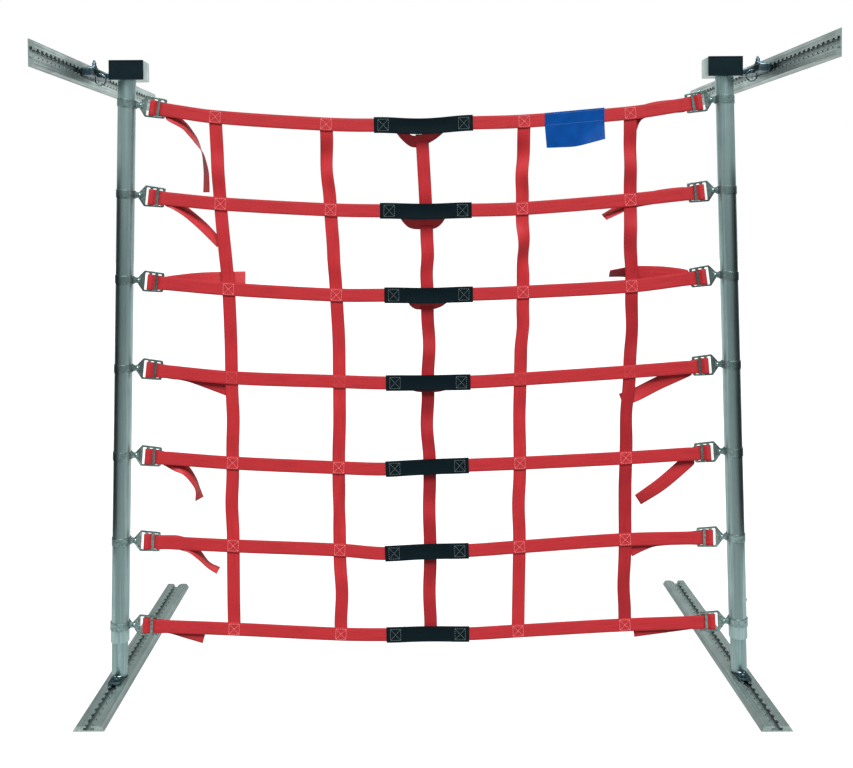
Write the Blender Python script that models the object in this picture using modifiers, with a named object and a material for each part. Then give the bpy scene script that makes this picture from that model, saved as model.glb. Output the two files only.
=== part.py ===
"""A cargo net of woven webbing, stretched between two telescopic posts in load-securing rails.

Seven straps run across and five run down. A slide buckle holds each end of a cross strap,
and a clamp band on the post holds the buckle. Each cross strap has a hand grip in its middle.
The net hangs in the XZ plane and faces -Y. The origin is on the floor, in the middle of the box.
"""

import math

import bmesh
import bpy
from mathutils import Matrix, Vector

MM = 0.001
GAP = 0.3 * MM  # between pieces that touch

# Net plane, ahead of the middle of the rails
NET_Y = -80 * MM

# Webbing
WEB_THICKNESS = 1.8 * MM
CROSS_WIDTH = 32 * MM
DOWN_WIDTH = 31 * MM
GRIP_WIDTH = 38 * MM
GRIP_THICKNESS = 2 * MM
DOWN_LAYER = WEB_THICKNESS + GAP  # down straps lie behind the cross straps
GRIP_LAYER = -(WEB_THICKNESS + GRIP_THICKNESS) / 2 - 0.33 * MM  # clear of the slack strap's bends
GRIP_SEAM = 36 * MM  # sewn length at each end of a grip
GRIP_STRETCHES = 6
LEVEL_RUN = 18 * MM  # flat run of a cross strap beside its buckles and its outer down straps
FLAT_PAST = 4 * MM  # a down strap stays flat this far past the edges of a cross strap
END_INSET = 2 * MM  # and ends this far inside the edge of the first and of the last one
BULGE_SQUARE = 4  # the slack behind a grip bulges back as squarely as this
BOW_PLACES = (0.33, 0.67)  # shares of the way down between two cross straps

# Cross straps, from the top. Heights of the clamp bands, and how far the strap has dropped
# below them where each down strap and each end of the grip is sewn to it, in mm
CROSS_STRAPS = [
    # band_z, at_1, at_2, grip_left, grip_right, at_4, at_5
    (1392, 33, 52, 55, 51, 48, 30),
    (1177, 25, 41, 44, 44, 41, 22),
    (973, 25, 41, 42, 41, 37, 24),
    (760, 25, 36, 40, 39, 33, 17),
    (550, 21, 34, 38, 30, 26, 15),
    (343, 15, 27, 37, 31, 22, 6),
    (138, 13, 27, 30, 29, 22, 9),
]

# Where each down strap crosses, left to right, in mm from the middle, a row for each cross strap
DOWN_STRAPS = [
    # down_1, down_2, down_3, down_4, down_5
    (-502, -238, -9, 234, 487),
    (-492, -229, 0, 229, 487),
    (-475, -217, 1, 230, 490),
    (-470, -211.5, 1, 222.5, 485),
    (-470, -215, 4, 221, 476),
    (-471, -214, 4, 219, 474),
    (-471, -213, 4, 215, 473),
]

# How far each down strap bows back between two cross straps, in mm, a row for each gap
BOWS = [
    # down_1, down_2, down_3, down_4, down_5
    (-2, 3.5, -3, 2, -1),
    (-2, -3, -1, -3.5, -4),
    (1, 2, 1, -1, 3.5),
    (-2, -2.5, 5, 2.5, -1.5),
    (1, 2, 1, -1, 3),
    (-1.5, -3.5, 2, 1.5, -2.5),
]

# Hand grips: their ends. The slack of the strap behind them: where it hangs lowest, its reach to
# both sides, how square its loop is, its sag and its bulge back. Last, how far the grip itself
# hangs below the line between its ends. All but the squareness in mm
GRIPS = [
    # left, right, lowest, before, after, square, sag, bulge, dip
    (-124, 112, -28, 42, 70, 1.8, 35, 15, 5.5),
    (-111, 108, -8, 53, 52, 4.5, 29, 14, 2.5),
    (-102, 110, -12, 33, 60, 4, 22, 13, 2),
    (-100, 103, 3, 48, 48, 3, 9, 9, 0.8),
    (-102, 98, 3, 48, 48, 2, 6, 8, -0.8),
    (-105, 97, 0, 50, 50, 2, 4, 8, -1.5),
    (-103, 97, 0, 50, 50, 2, 3, 8, -1.5),
]

# Free ends past the buckles: waypoints (across, height, back, twist), in mm and degrees. They
# hang behind the net, and most of them turn about their own length on the way down
TAIL_BACK = 5.0
TAIL_STEP = 24.0
TAILS = {
    (1, -1): [
        (-606, 1360, 8, -40),
        (-578, 1339, 13, -64),
        (-551, 1303, 16, -80),
        (-537, 1275, 17, -103),
        (-528, 1229, 16, -121),
        (-528, 1180, 16, -127),
    ],
    (2, -1): [(-606, 1155, 8, -36), (-575, 1132, 13, -54), (-537, 1098, 17, -54), (-496, 1054, 18, -62)],
    (3, -1): [(-604, 966, 6, 0), (-540, 972, 9, -4), (-436, 974, 13, -15)],
    (4, -1): [(-610, 747, 6, 0), (-572, 740, 8, 0), (-476, 704, 9, 0)],
    (5, -1): [(-616, 529, 8, 0), (-586, 510, 12, -40), (-566, 482, 15, -84), (-554, 438, 16, -124)],
    (6, -1): [
        (-606, 335, 8, 0),
        (-574, 322, 10, -20),
        (-552, 298, 13, -70),
        (-534, 277, 15, -112),
        (-510, 263, 15, -138),
    ],
    (7, -1): [(-622, 128, 6, 0), (-590, 118, 6, 0), (-544, 104, 6, 0)],
    (1, 1): [
        (612, 1379, 6, 0),
        (560, 1375, 8, 5),
        (524, 1367, 14, 22),
        (503, 1352, 17, 36),
        (491, 1322, 18, 44),
    ],
    (2, 1): [(612, 1169, 6, 0), (559, 1163, 8, 6), (493, 1147, 16, 44), (427, 1114, 18, 66)],
    (3, 1): [
        (618, 972, 6, 0),
        (569, 980, 8, -6),
        (506, 983, 15, -28),
        (475, 981, 19, -49),
        (440, 978, 19, -58),
    ],
    (4, 1): [(624, 745, 6, 0), (557, 714, 10, 4), (502, 685, 15, 14), (468, 672, 17, 24)],
    (5, 1): [(628, 526, 8, 6), (566, 470, 12, 0), (507, 430, 12, -18)],
    (6, 1): [(630, 338, 6, 0), (572, 336, 7, 0), (540, 332, 7, 0), (511, 321, 7, 0), (485, 308, 7, 0)],
    (7, 1): [(640, 132, 6, 0), (580, 124, 6, 0), (495, 113, 6, 0)],
}

# Posts: an outer tube over an inner tube, leaning in towards the top
POST_FOOT_X = 749.5 * MM
POST_LEAN = math.radians(1.56)
POST_RADIUS = 21 * MM
POST_WALL = 1.75 * MM
COLLAR_RADIUS = 21.9 * MM
COLLAR_HEIGHT = 48 * MM
COLLAR_SHOULDER = 1 * MM
POST_BOTTOM = 99 * MM
INNER_WALL = 2 * MM
INNER_PLAY = 0.35 * MM
INNER_TOP = 250 * MM
ROUND_SIDES = 24

# Foot of the inner tube, seated on the floor rail
FOOT_LENGTH = 72 * MM
FOOT_WIDTH = 30 * MM
FOOT_HEIGHT = 6 * MM
FOOT_AHEAD = 14 * MM
STUD_RADIUS = 5.5 * MM
STUD_DEPTH = 7 * MM

# Clamp bands and the ears that hold the buckles
BAND_HEIGHT = 22 * MM
BAND_THICKNESS = 1.3 * MM
EAR_THICKNESS = 1.2 * MM
EAR_REACH = 41 * MM
EAR_TIP = 0.5  # share of the band's height that is left at the ear's end

# Slide buckles: distances from the post's axis
RIVET_AT = 34 * MM
HEAD_FROM = 26 * MM
FRAME_FROM = 44 * MM
FRAME_HEIGHT = 51 * MM
FRAME_END_HEIGHT = 47 * MM  # the frame narrows a little towards its last bar
FRAME_SIDE = 4.7 * MM
HEAD_SLOT_FROM = 47 * MM
BAR_FROM = [57.5 * MM, 72.5 * MM, 87.5 * MM]
BAR_WIDTH = 6.5 * MM
BUCKLE_THICKNESS = 2.5 * MM
NECK_HEIGHT = 13 * MM
CORNER = 5 * MM
STRAP_PLAY = 0.45 * MM
STRAP_LAYER = (BUCKLE_THICKNESS + WEB_THICKNESS) / 2 + STRAP_PLAY
SLOT_PLAY = 0.8 * MM  # between a bar's edge and the strap that turns round it
STRAP_LOW = 1.5 * MM  # the strap lies low in its slot

# Heads on the posts, with the fittings that lock into the side rails
HEAD_INSIDE = 664 * MM
HEAD_OUTSIDE = 745 * MM
HEAD_BOTTOM = 1445 * MM
HEAD_HEIGHT = 46 * MM
HEAD_DEPTH = 55 * MM
HEAD_WALL = 3 * MM
CAP_THICKNESS = 4 * MM
CAP_PLUG = 12 * MM

# Fittings, as blocks in mm: sideways from the middle of the net, back from the net's plane and
# up from the middle of the side rail
FITTING_ARM = ((743, -20, -6), (770, 19, 8))
FITTING_BODY = ((757, -110, -11), (787.7, 20, 11))
FITTING_SHOE = ((780, -108, -6), (793, 18, 6))
PLUNGER_AT = (763.5, -80, 0)
PLUNGER_RADIUS = 3 * MM
PLUNGER_HEIGHT = 29 * MM
RING_AT = (753, -68, -15)
RING_RADIUS = 12.5 * MM
RING_WIRE = 1.6 * MM
RING_SIDES = 16
WIRE_SIDES = 6

# Rails, cut lengths of slotted track
RAIL_WIDTHS = {
    # rail: at its base, at its top
    "floor": (69 * MM, 55 * MM),
    "side": (56 * MM, 46 * MM),
}
RAIL_HEIGHT = 12 * MM
RAIL_FLOOR = 3 * MM
RAIL_LIP = 3 * MM
RAIL_SLOT = 14 * MM
RAIL_CHANNEL = 24 * MM
SIDE_RAIL_X = 800 * MM
SIDE_RAIL_Z = 1455 * MM
FLOOR_RAIL_X = 749 * MM
RAIL_BACK_ENDS = {"floor": 621 * MM, "side": 592 * MM}
RAIL_FRONT_ENDS = {
    # rail: left, right
    "floor": (-245 * MM, -265 * MM),
    "side": (-397 * MM, -461 * MM),
}

# Name plate of coated cloth on the top strap: its columns, in mm
LABEL_THICKNESS = 1 * MM
LABEL_COLUMNS = [
    # across, top, bottom, curl
    (283, 1363, 1280, 0),
    (318, 1366, 1281, 1),
    (354, 1369, 1283, 2),
    (390, 1372, 1291, 5),
    (425, 1375, 1300, 9),
]


def start():
    """Clears the scene and returns the object's collection, the cutters' and the root empty."""
    for obj in list(bpy.data.objects):
        bpy.data.objects.remove(obj)
    scene = bpy.context.scene.collection
    net = bpy.data.collections.new("cargo_net")
    cutters = bpy.data.collections.new("cutters")
    scene.children.link(net)
    scene.children.link(cutters)
    origin = bpy.data.objects.new("net_plane", None)
    origin.location = (0, NET_Y, 0)
    net.objects.link(origin)
    return net, cutters, origin


def material(name, colour, roughness, metallic):
    made = bpy.data.materials.new(name)
    made.use_nodes = True
    shader = made.node_tree.nodes["Principled BSDF"]
    shader.inputs["Base Color"].default_value = (*colour, 1)
    shader.inputs["Roughness"].default_value = roughness
    shader.inputs["Metallic"].default_value = metallic
    return made


NET, CUTTERS, ORIGIN = start()
RED_WEB = material("red_webbing", (0.46, 0.03, 0.035), 0.75, 0)
BLACK_WEB = material("black_webbing", (0.008, 0.014, 0.017), 0.8, 0)
BLUE_CLOTH = material("blue_coated_cloth", (0.01, 0.10, 0.32), 0.4, 0)
POST_STEEL = material("zinc_plated_tube", (0.20, 0.27, 0.27), 0.35, 1)
CLAMP_STEEL = material("clamp_steel", (0.08, 0.12, 0.12), 0.4, 1)
BUCKLE_STEEL = material("buckle_steel", (0.10, 0.13, 0.13), 0.4, 1)
FOOT_STEEL = material("blackened_steel", (0.04, 0.06, 0.06), 0.5, 1)
ALUMINIUM = material("mill_aluminium", (0.42, 0.47, 0.46), 0.4, 1)
CAP_PLASTIC = material("cap_plastic", (0.006, 0.012, 0.014), 0.45, 0)


def post_x(side, height):
    """The post's axis at a height, on the left (side -1) or on the right (side 1)."""
    return side * (POST_FOOT_X - height * math.tan(POST_LEAN))


def place(name, mesh, finish, smooth=False):
    """Makes an object of a mesh, in the collection and under the root empty."""
    mesh.name = name
    mesh.materials.append(finish)
    if smooth:
        mesh.shade_smooth()
        mesh.set_sharp_from_angle(angle=math.radians(40))
    obj = bpy.data.objects.new(name, mesh)
    NET.objects.link(obj)
    obj.parent = ORIGIN
    return obj


def extruded(outlines, low, high):
    """A welded mesh of flat outlines, closed loops of (x, y), extruded from z = low to high."""
    curve = bpy.data.curves.new("outline", "CURVE")
    curve.dimensions = "2D"
    curve.fill_mode = "BOTH"
    curve.extrude = (high - low) / 2
    for loop in outlines:
        spline = curve.splines.new("POLY")
        spline.points.add(len(loop) - 1)
        for point, (x, y) in zip(spline.points, loop):
            point.co = (x, y, 0, 1)
        spline.use_cyclic_u = True
    holder = bpy.data.objects.new("outline", curve)
    NET.objects.link(holder)
    graph = bpy.context.evaluated_depsgraph_get()
    mesh = bpy.data.meshes.new_from_object(holder.evaluated_get(graph))
    bpy.data.objects.remove(holder)
    bm = bmesh.new()
    bm.from_mesh(mesh)
    bmesh.ops.remove_doubles(bm, verts=bm.verts, dist=0.01 * MM)
    bmesh.ops.translate(bm, verts=bm.verts, vec=(0, 0, (low + high) / 2))
    bm.to_mesh(mesh)
    bm.free()
    return mesh


def mirrored(mesh, side):
    """Turns a mesh made for the right side over to the left one."""
    if side < 0:
        bm = bmesh.new()
        bm.from_mesh(mesh)
        bmesh.ops.scale(bm, verts=bm.verts, vec=(-1, 1, 1))
        bmesh.ops.reverse_faces(bm, faces=bm.faces)
        bm.to_mesh(mesh)
        bm.free()
    return mesh


def leaned(mesh, side):
    """Shears an upright mesh round the Z axis so that it follows the post on that side."""
    for vertex in mesh.vertices:
        vertex.co.x += post_x(side, vertex.co.z)
    return mesh


def circle(radius, sides=ROUND_SIDES):
    steps = [2 * math.pi * i / sides for i in range(sides)]
    return [(radius * math.cos(a), radius * math.sin(a)) for a in steps]


def tube(rings, wall):
    """An upright tube. rings holds (radius, height) from the bottom up, and wall is its thickness."""
    bm = bmesh.new()
    inside = rings[0][0] - wall
    profile = [*rings, (inside, rings[-1][1]), (inside, rings[0][1])]
    loops = []
    for radius, height in profile:
        loops.append([bm.verts.new((x, y, height)) for x, y in circle(radius)])
    for lower, upper in zip(loops, loops[1:] + loops[:1]):
        for i in range(ROUND_SIDES):
            j = (i + 1) % ROUND_SIDES
            bm.faces.new((lower[i], lower[j], upper[j], upper[i]))
    mesh = bpy.data.meshes.new("tube")
    bm.to_mesh(mesh)
    bm.free()
    return mesh


def block(low, high):
    """A box between two corners."""
    bm = bmesh.new()
    bmesh.ops.create_cube(bm, size=1)
    low, high = Vector(low), Vector(high)
    size = high - low
    bmesh.ops.scale(bm, verts=bm.verts, vec=size)
    bmesh.ops.translate(bm, verts=bm.verts, vec=(low + high) / 2)
    mesh = bpy.data.meshes.new("block")
    bm.to_mesh(mesh)
    bm.free()
    return mesh


def rod(centre, radius, height, sides=12):
    """An upright rod, standing on centre."""
    bm = bmesh.new()
    place_at = Matrix.Translation(Vector(centre) + Vector((0, 0, height / 2)))
    bmesh.ops.create_cone(
        bm,
        cap_ends=True,
        segments=sides,
        radius1=radius,
        radius2=radius,
        depth=height,
        matrix=place_at,
    )
    mesh = bpy.data.meshes.new("rod")
    bm.to_mesh(mesh)
    bm.free()
    return mesh


def joined(obj, mesh, operation="UNION"):
    """Adds a mesh to an object, or cuts it out, with a Boolean."""
    helper = bpy.data.objects.new(f"{obj.name}.{operation.lower()}", mesh)
    CUTTERS.objects.link(helper)
    helper.parent = ORIGIN
    helper.hide_render = True
    helper.display_type = "WIRE"
    modifier = obj.modifiers.new(operation.lower(), "BOOLEAN")
    modifier.operation = operation
    modifier.object = helper


def sheet(name, columns, thickness, finish):
    """A thin solid on a strip of cross sections, each a list of points from one edge to the other."""
    bm = bmesh.new()
    rows = [[bm.verts.new(point) for point in column] for column in columns]
    for before, after in zip(rows, rows[1:]):
        for a, b, c, d in zip(before, after, after[1:], before[1:]):
            bm.faces.new((a, b, c, d))
    mesh = bpy.data.meshes.new(name)
    bm.to_mesh(mesh)
    bm.free()
    obj = place(name, mesh, finish)
    modifier = obj.modifiers.new("thickness", "SOLIDIFY")
    modifier.thickness = thickness
    modifier.offset = 0
    modifier.use_even_offset = True
    return obj


def band_of_web(name, stations, width, thickness, finish):
    """A webbing strap on stations of (centre, direction across)."""
    edges = [[p - across * width / 2, p + across * width / 2] for p, across in stations]
    return sheet(name, edges, thickness, finish)


def along(points, step):
    """Points on a smooth curve through waypoints, which may carry more numbers than x, y and z."""
    points = [Vector(p) for p in points]
    ends = [2 * points[0] - points[1], *points, 2 * points[-1] - points[-2]]
    made = []
    for a, b, c, d in zip(ends, ends[1:], ends[2:], ends[3:]):
        count = max(1, round((c.to_3d() - b.to_3d()).length / step))
        for i in range(count):
            t = i / count
            bend = (2 * a - 5 * b + 4 * c - d) * t * t + (3 * b - a - 3 * c + d) * t**3
            made.append(b + ((c - a) * t + bend) / 2)
    return [*made, points[-1]]


def stations_on(points, across):
    """(centre, direction across) for points (x, y, z, twist), with across as the starting direction."""
    made = []
    for i, point in enumerate(points):
        before, after = points[max(i - 1, 0)], points[min(i + 1, len(points) - 1)]
        way = (after.to_3d() - before.to_3d()).normalized()
        level = Vector((-way.z, 0, way.x)).normalized()
        if level.dot(across) < 0:
            level.negate()
        across = level
        turned = Matrix.Rotation(math.radians(point[3]), 3, way) @ level
        made.append((point.to_3d(), turned))
    return made


def read_off(table, x):
    """Reads a smooth curve through a table of (x, value), sorted by x."""
    at = max(0, min(len(table) - 2, sum(row[0] <= x for row in table) - 1))
    a, b, c, d = (table[max(0, min(len(table) - 1, i))] for i in range(at - 1, at + 3))
    t = (x - b[0]) / (c[0] - b[0])
    slope_b = (c[1] - a[1]) / (c[0] - a[0]) * (c[0] - b[0])
    slope_c = (d[1] - b[1]) / (d[0] - b[0]) * (c[0] - b[0])
    value = b[1] * (2 * t**3 - 3 * t**2 + 1) + c[1] * (3 * t**2 - 2 * t**3)
    return value + slope_b * (t**3 - 2 * t**2 + t) + slope_c * (t**3 - t**2)


def ramp(x, low, high):
    """Rises smoothly from 0 at low to 1 at high."""
    t = max(0.0, min(1.0, (x - low) / (high - low)))
    return t * t * (3 - 2 * t)


def slack_at(row, x, square=None):
    """Share of its slack that a cross strap shows behind its grip, at x in mm."""
    lowest, before, after, own = GRIPS[row][2:6]
    off = abs(x - lowest) / (before if x < lowest else after)
    return max(0.0, 1 - off ** (square or own))


def dip(row, x):
    """How far a grip, and the strap behind it, hang below the line between its ends, at x in mm."""
    left, right, *_, deep = GRIPS[row]
    share = max(0.0, min(1.0, (x - left) / (right - left)))
    return deep * math.sin(math.pi * share) ** 2


def buckle_frame(row, side):
    """The matrix of a buckle: X runs from the post's axis towards the net, and Y stays level."""
    band_z = CROSS_STRAPS[row][0] * MM
    drop = CROSS_STRAPS[row][1 if side < 0 else 6] * MM
    crossing = DOWN_STRAPS[row][0 if side < 0 else 4] * MM
    axis_x = post_x(side, band_z)
    run = abs(crossing - axis_x) - RIVET_AT
    tilt = math.atan2(drop, run)
    turn = Matrix.Rotation(math.pi if side > 0 else 0, 4, "Z")
    pivot = Matrix.Translation((RIVET_AT, 0, 0))
    tipped = pivot @ Matrix.Rotation(tilt, 4, "Y") @ pivot.inverted()
    return Matrix.Translation((axis_x, 0, band_z)) @ turn @ tipped


def threading(row, side):
    """Stations of a strap in its buckle, from the net to the start of its free end."""
    front, behind, tail = -STRAP_LAYER, STRAP_LAYER, TAIL_BACK * MM
    near, middle, far = BAR_FROM
    route = [
        (far + BAR_WIDTH + SLOT_PLAY, front),
        (far - SLOT_PLAY, front),
        (middle + BAR_WIDTH + SLOT_PLAY, behind),
        (middle - SLOT_PLAY, behind),
        (near + BAR_WIDTH + SLOT_PLAY, front),
    ]
    for degrees in (90, 135, 180, 225, 270):
        turn = math.radians(degrees)
        route.append((near + STRAP_LAYER * math.cos(turn), -STRAP_LAYER * math.sin(turn)))
    route += [(near + BAR_WIDTH, behind), (middle - 3 * MM, tail), (far + BAR_WIDTH, tail)]
    # Depth is a world direction, so the right-hand buckle, turned round, has it the other way
    frame = buckle_frame(row, side)
    across = (frame.to_3x3() @ Vector((0, 0, 1))).normalized()
    facing = -side
    points = [frame @ Vector((x, y * facing, -STRAP_LOW)) for x, y in route]
    return [(point, across) for point in points]


def knots_of(row):
    """Where a cross strap is sewn to down straps and grip, as a table of (x, height) in mm."""
    band_z, *drops = CROSS_STRAPS[row]
    down, (left, right, *_) = DOWN_STRAPS[row], GRIPS[row]
    places = [down[0], down[1], left, right, down[3], down[4]]
    return [(x, band_z - drop) for x, drop in zip(places, drops)]


def strap_point(row, x, heights):
    """A cross strap's centre at x, in mm, from its table of heights and its slack."""
    sag, bulge = GRIPS[row][6:8]
    down = dip(row, x) + sag * slack_at(row, x)
    return Vector((x, bulge * slack_at(row, x, BULGE_SQUARE), read_off(heights, x) - down))


def net_station(row, x, heights):
    """A cross strap's station at x, in mm. Its slack slides down behind the grip without a turn."""
    here, there = (read_off(heights, at) - dip(row, at) for at in (x - 2, x + 2))
    return strap_point(row, x, heights) * MM, Vector((here - there, 0, 4)).normalized()


def tail(row, side, start):
    """Stations of a free end, from where the strap leaves its buckle."""
    way = [Vector((*start, 0))]
    for across, height, back, twist in TAILS[row + 1, side]:
        way.append(Vector((across * MM, back * MM, height * MM, twist)))
    return stations_on(along(way, TAIL_STEP * MM), Vector((0, 0, 1)))[1:]


def cross_strap(row):
    """One cross strap with both of its free ends."""
    left_web, right_web = threading(row, -1), threading(row, 1)
    start, end = left_web[0][0] / MM, right_web[0][0] / MM
    heights = [(start.x, start.z), *knots_of(row), (end.x, end.z)]
    down, (left, right, *_) = DOWN_STRAPS[row], GRIPS[row]
    flat, seam = LEVEL_RUN / MM, GRIP_SEAM / MM
    stretches = [
        # from, to, stations
        (start.x + flat, down[0] - flat, 1),
        (down[0] - flat, down[0] + flat, 1),
        (down[0] + flat, down[1], 5),
        (down[1], left, 3),
        (left, left + seam, 2),
        (left + seam, right - seam, 9),
        (right - seam, right, 2),
        (right, down[3], 3),
        (down[3], down[4] - flat, 5),
        (down[4] - flat, down[4] + flat, 1),
        (down[4] + flat, end.x - flat, 1),
    ]
    places = [a + (b - a) * i / count for a, b, count in stretches for i in range(count)]
    places.append(end.x - flat)
    net_part = [net_station(row, x, heights) for x in places]
    left_tail = tail(row, -1, left_web[-1][0])
    right_tail = tail(row, 1, right_web[-1][0])
    stations = [*reversed(left_tail), *reversed(left_web), *net_part, *right_web, *right_tail]
    return band_of_web(f"cross_strap_{row + 1}", stations, CROSS_WIDTH, WEB_THICKNESS, RED_WEB)


def down_strap(column):
    """One down strap, behind all the cross straps and flat where it is sewn to them."""
    behind = []
    for row, places in enumerate(DOWN_STRAPS):
        here = strap_point(row, places[column], knots_of(row)) * MM
        for beside in (-DOWN_WIDTH / 2, DOWN_WIDTH / 2):
            there = strap_point(row, places[column] + beside / MM, knots_of(row)) * MM
            here.y = max(here.y, there.y)
        behind.append(here + Vector((0, DOWN_LAYER, 0)))
    reach = CROSS_WIDTH / 2 + FLAT_PAST
    inset = FLAT_PAST + END_INSET
    last = len(behind) - 1
    points = []
    for row, here in enumerate(behind):
        above = reach - (inset if row == 0 else 0)
        below = reach - (inset if row == last else 0)
        points += [here + Vector((0, 0, above)), here - Vector((0, 0, below))]
        if row < last:
            for share in BOW_PLACES:
                bow = Vector((0, BOWS[row][column] * MM, 0))
                points.append(here.lerp(behind[row + 1], share) + bow)
    stations = [(point, Vector((1, 0, 0))) for point in points]
    return band_of_web(f"down_strap_{column + 1}", stations, DOWN_WIDTH, WEB_THICKNESS, RED_WEB)


def grip(row):
    """One hand grip, drawn over its slack strap and sewn down at both ends."""
    (left, low_left), (right, low_right) = knots_of(row)[2:4]
    start = Vector((left * MM, GRIP_LAYER, low_left * MM, 0))
    end = Vector((right * MM, GRIP_LAYER, low_right * MM, 0))
    points = [start.lerp(end, i / GRIP_STRETCHES) for i in range(GRIP_STRETCHES + 1)]
    for point in points:
        point.z -= dip(row, point.x / MM) * MM
    stations = stations_on(points, Vector((0, 0, 1)))
    return band_of_web(f"grip_{row + 1}", stations, GRIP_WIDTH, GRIP_THICKNESS, BLACK_WEB)


def buckle(row, side):
    """A stamped slide buckle with its triangular head and three bars."""
    end = BAR_FROM[2] + BAR_WIDTH
    neck = NECK_HEIGHT / 2

    def half(x):
        share = (x - FRAME_FROM) / (end - FRAME_FROM)
        return (FRAME_HEIGHT + (FRAME_END_HEIGHT - FRAME_HEIGHT) * share) / 2

    upper = [
        (HEAD_FROM, neck),
        (RIVET_AT - 3 * MM, neck),
        (FRAME_FROM, half(FRAME_FROM)),
        (end - CORNER, half(end - CORNER)),
        (end, half(end) - CORNER),
    ]
    outline = upper + [(x, -z) for x, z in reversed(upper)]
    slots = []
    starts = [HEAD_SLOT_FROM, *(bar + BAR_WIDTH for bar in BAR_FROM[:2])]
    for low, high in zip(starts, BAR_FROM):
        before, after = half(low) - FRAME_SIDE, half(high) - FRAME_SIDE
        slots.append([(low, -before), (low, before), (high, after), (high, -after)])
    mesh = extruded([outline, *slots], -BUCKLE_THICKNESS / 2, BUCKLE_THICKNESS / 2)
    mesh.transform(Matrix.Rotation(math.pi / 2, 4, "X"))
    mesh.transform(buckle_frame(row, side))
    return place(f"buckle_{row + 1}_{'left' if side < 0 else 'right'}", mesh, BUCKLE_STEEL)


def clamp_band(row, side):
    """A band round the post whose two ends lie on both sides of the buckle's head."""
    inner = POST_RADIUS + GAP
    if row == len(CROSS_STRAPS) - 1:
        inner = COLLAR_RADIUS + GAP
    outer = inner + BAND_THICKNESS
    slit = BUCKLE_THICKNESS / 2 + GAP
    ear = slit + EAR_THICKNESS
    step = 2 * math.pi / ROUND_SIDES
    turns = [step * i for i in range(1, ROUND_SIDES)]
    around = [(outer * math.cos(a), outer * math.sin(a)) for a in turns]
    inside = [(inner * math.cos(a), inner * math.sin(a)) for a in turns]
    outline = [(EAR_REACH, ear), (outer, ear), *around, (outer, -ear), (EAR_REACH, -ear)]
    outline += [(EAR_REACH, -slit), (inner, -slit), *reversed(inside), (inner, slit)]
    outline += [(EAR_REACH, slit)]
    mesh = extruded([outline], -BAND_HEIGHT / 2, BAND_HEIGHT / 2)
    for vertex in mesh.vertices:
        if vertex.co.x > (outer + EAR_REACH) / 2:
            vertex.co.z *= EAR_TIP
    mesh.transform(Matrix.Rotation(math.pi if side > 0 else 0, 4, "Z"))
    mesh.transform(Matrix.Translation((0, 0, CROSS_STRAPS[row][0] * MM)))
    name = f"clamp_{row + 1}_{'left' if side < 0 else 'right'}"
    return place(name, leaned(mesh, side), CLAMP_STEEL, smooth=True)


def post(side):
    """The outer tube, with a slight collar at its lower end."""
    collar_top = POST_BOTTOM + COLLAR_HEIGHT
    rings = [
        (COLLAR_RADIUS, POST_BOTTOM),
        (COLLAR_RADIUS, collar_top),
        (POST_RADIUS, collar_top + COLLAR_SHOULDER),
        (POST_RADIUS, HEAD_BOTTOM - GAP),
    ]
    wall = COLLAR_RADIUS - POST_RADIUS + POST_WALL
    mesh = leaned(tube(rings, wall), side)
    return place(f"post_{'left' if side < 0 else 'right'}", mesh, POST_STEEL, smooth=True)


def inner_post(side):
    """The inner tube with its foot, whose stud drops into the floor rail's slot."""
    radius = POST_RADIUS - POST_WALL - INNER_PLAY
    bottom = RAIL_HEIGHT + GAP
    rings = [(radius, bottom + FOOT_HEIGHT / 2), (radius, INNER_TOP)]
    mesh = leaned(tube(rings, INNER_WALL), side)
    name = f"inner_post_{'left' if side < 0 else 'right'}"
    obj = place(name, mesh, POST_STEEL, smooth=True)
    x = side * FLOOR_RAIL_X
    front = -FOOT_LENGTH / 2 - FOOT_AHEAD
    low = (x - FOOT_WIDTH / 2, front, bottom)
    high = (x + FOOT_WIDTH / 2, front + FOOT_LENGTH, bottom + FOOT_HEIGHT)
    foot = block(low, high)
    foot.materials.append(FOOT_STEEL)
    joined(obj, foot)
    joined(obj, rod((x, 0, bottom - STUD_DEPTH), STUD_RADIUS, STUD_DEPTH + FOOT_HEIGHT / 2))
    return obj


def head(side):
    """The box head on the post's top, with the fitting that locks it into the side rail."""
    top = HEAD_BOTTOM + HEAD_HEIGHT
    outline = [(HEAD_INSIDE, HEAD_BOTTOM), (HEAD_OUTSIDE, HEAD_BOTTOM)]
    outline += [(HEAD_OUTSIDE, top), (HEAD_INSIDE, top)]
    hollow = [
        (HEAD_INSIDE + HEAD_WALL, HEAD_BOTTOM + HEAD_WALL),
        (HEAD_OUTSIDE - HEAD_WALL, HEAD_BOTTOM + HEAD_WALL),
        (HEAD_OUTSIDE - HEAD_WALL, top - HEAD_WALL),
        (HEAD_INSIDE + HEAD_WALL, top - HEAD_WALL),
    ]
    box = extruded([outline, hollow], -HEAD_DEPTH / 2, HEAD_DEPTH / 2)
    box.transform(Matrix.Rotation(math.pi / 2, 4, "X"))
    name = f"head_{'left' if side < 0 else 'right'}"
    obj = place(name, mirrored(box, side), ALUMINIUM)
    rail_middle = Vector((0, 0, SIDE_RAIL_Z))
    pieces = [pull_ring(Vector(RING_AT) * MM + rail_middle)]
    for low, high in (FITTING_ARM, FITTING_BODY, FITTING_SHOE):
        pieces.append(block(Vector(low) * MM + rail_middle, Vector(high) * MM + rail_middle))
    foot = Vector(PLUNGER_AT) * MM + rail_middle
    pieces.append(rod(foot, PLUNGER_RADIUS, PLUNGER_HEIGHT))
    for mesh in pieces:
        mesh.materials.append(FOOT_STEEL)
        joined(obj, mirrored(mesh, side))
    return obj


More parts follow.
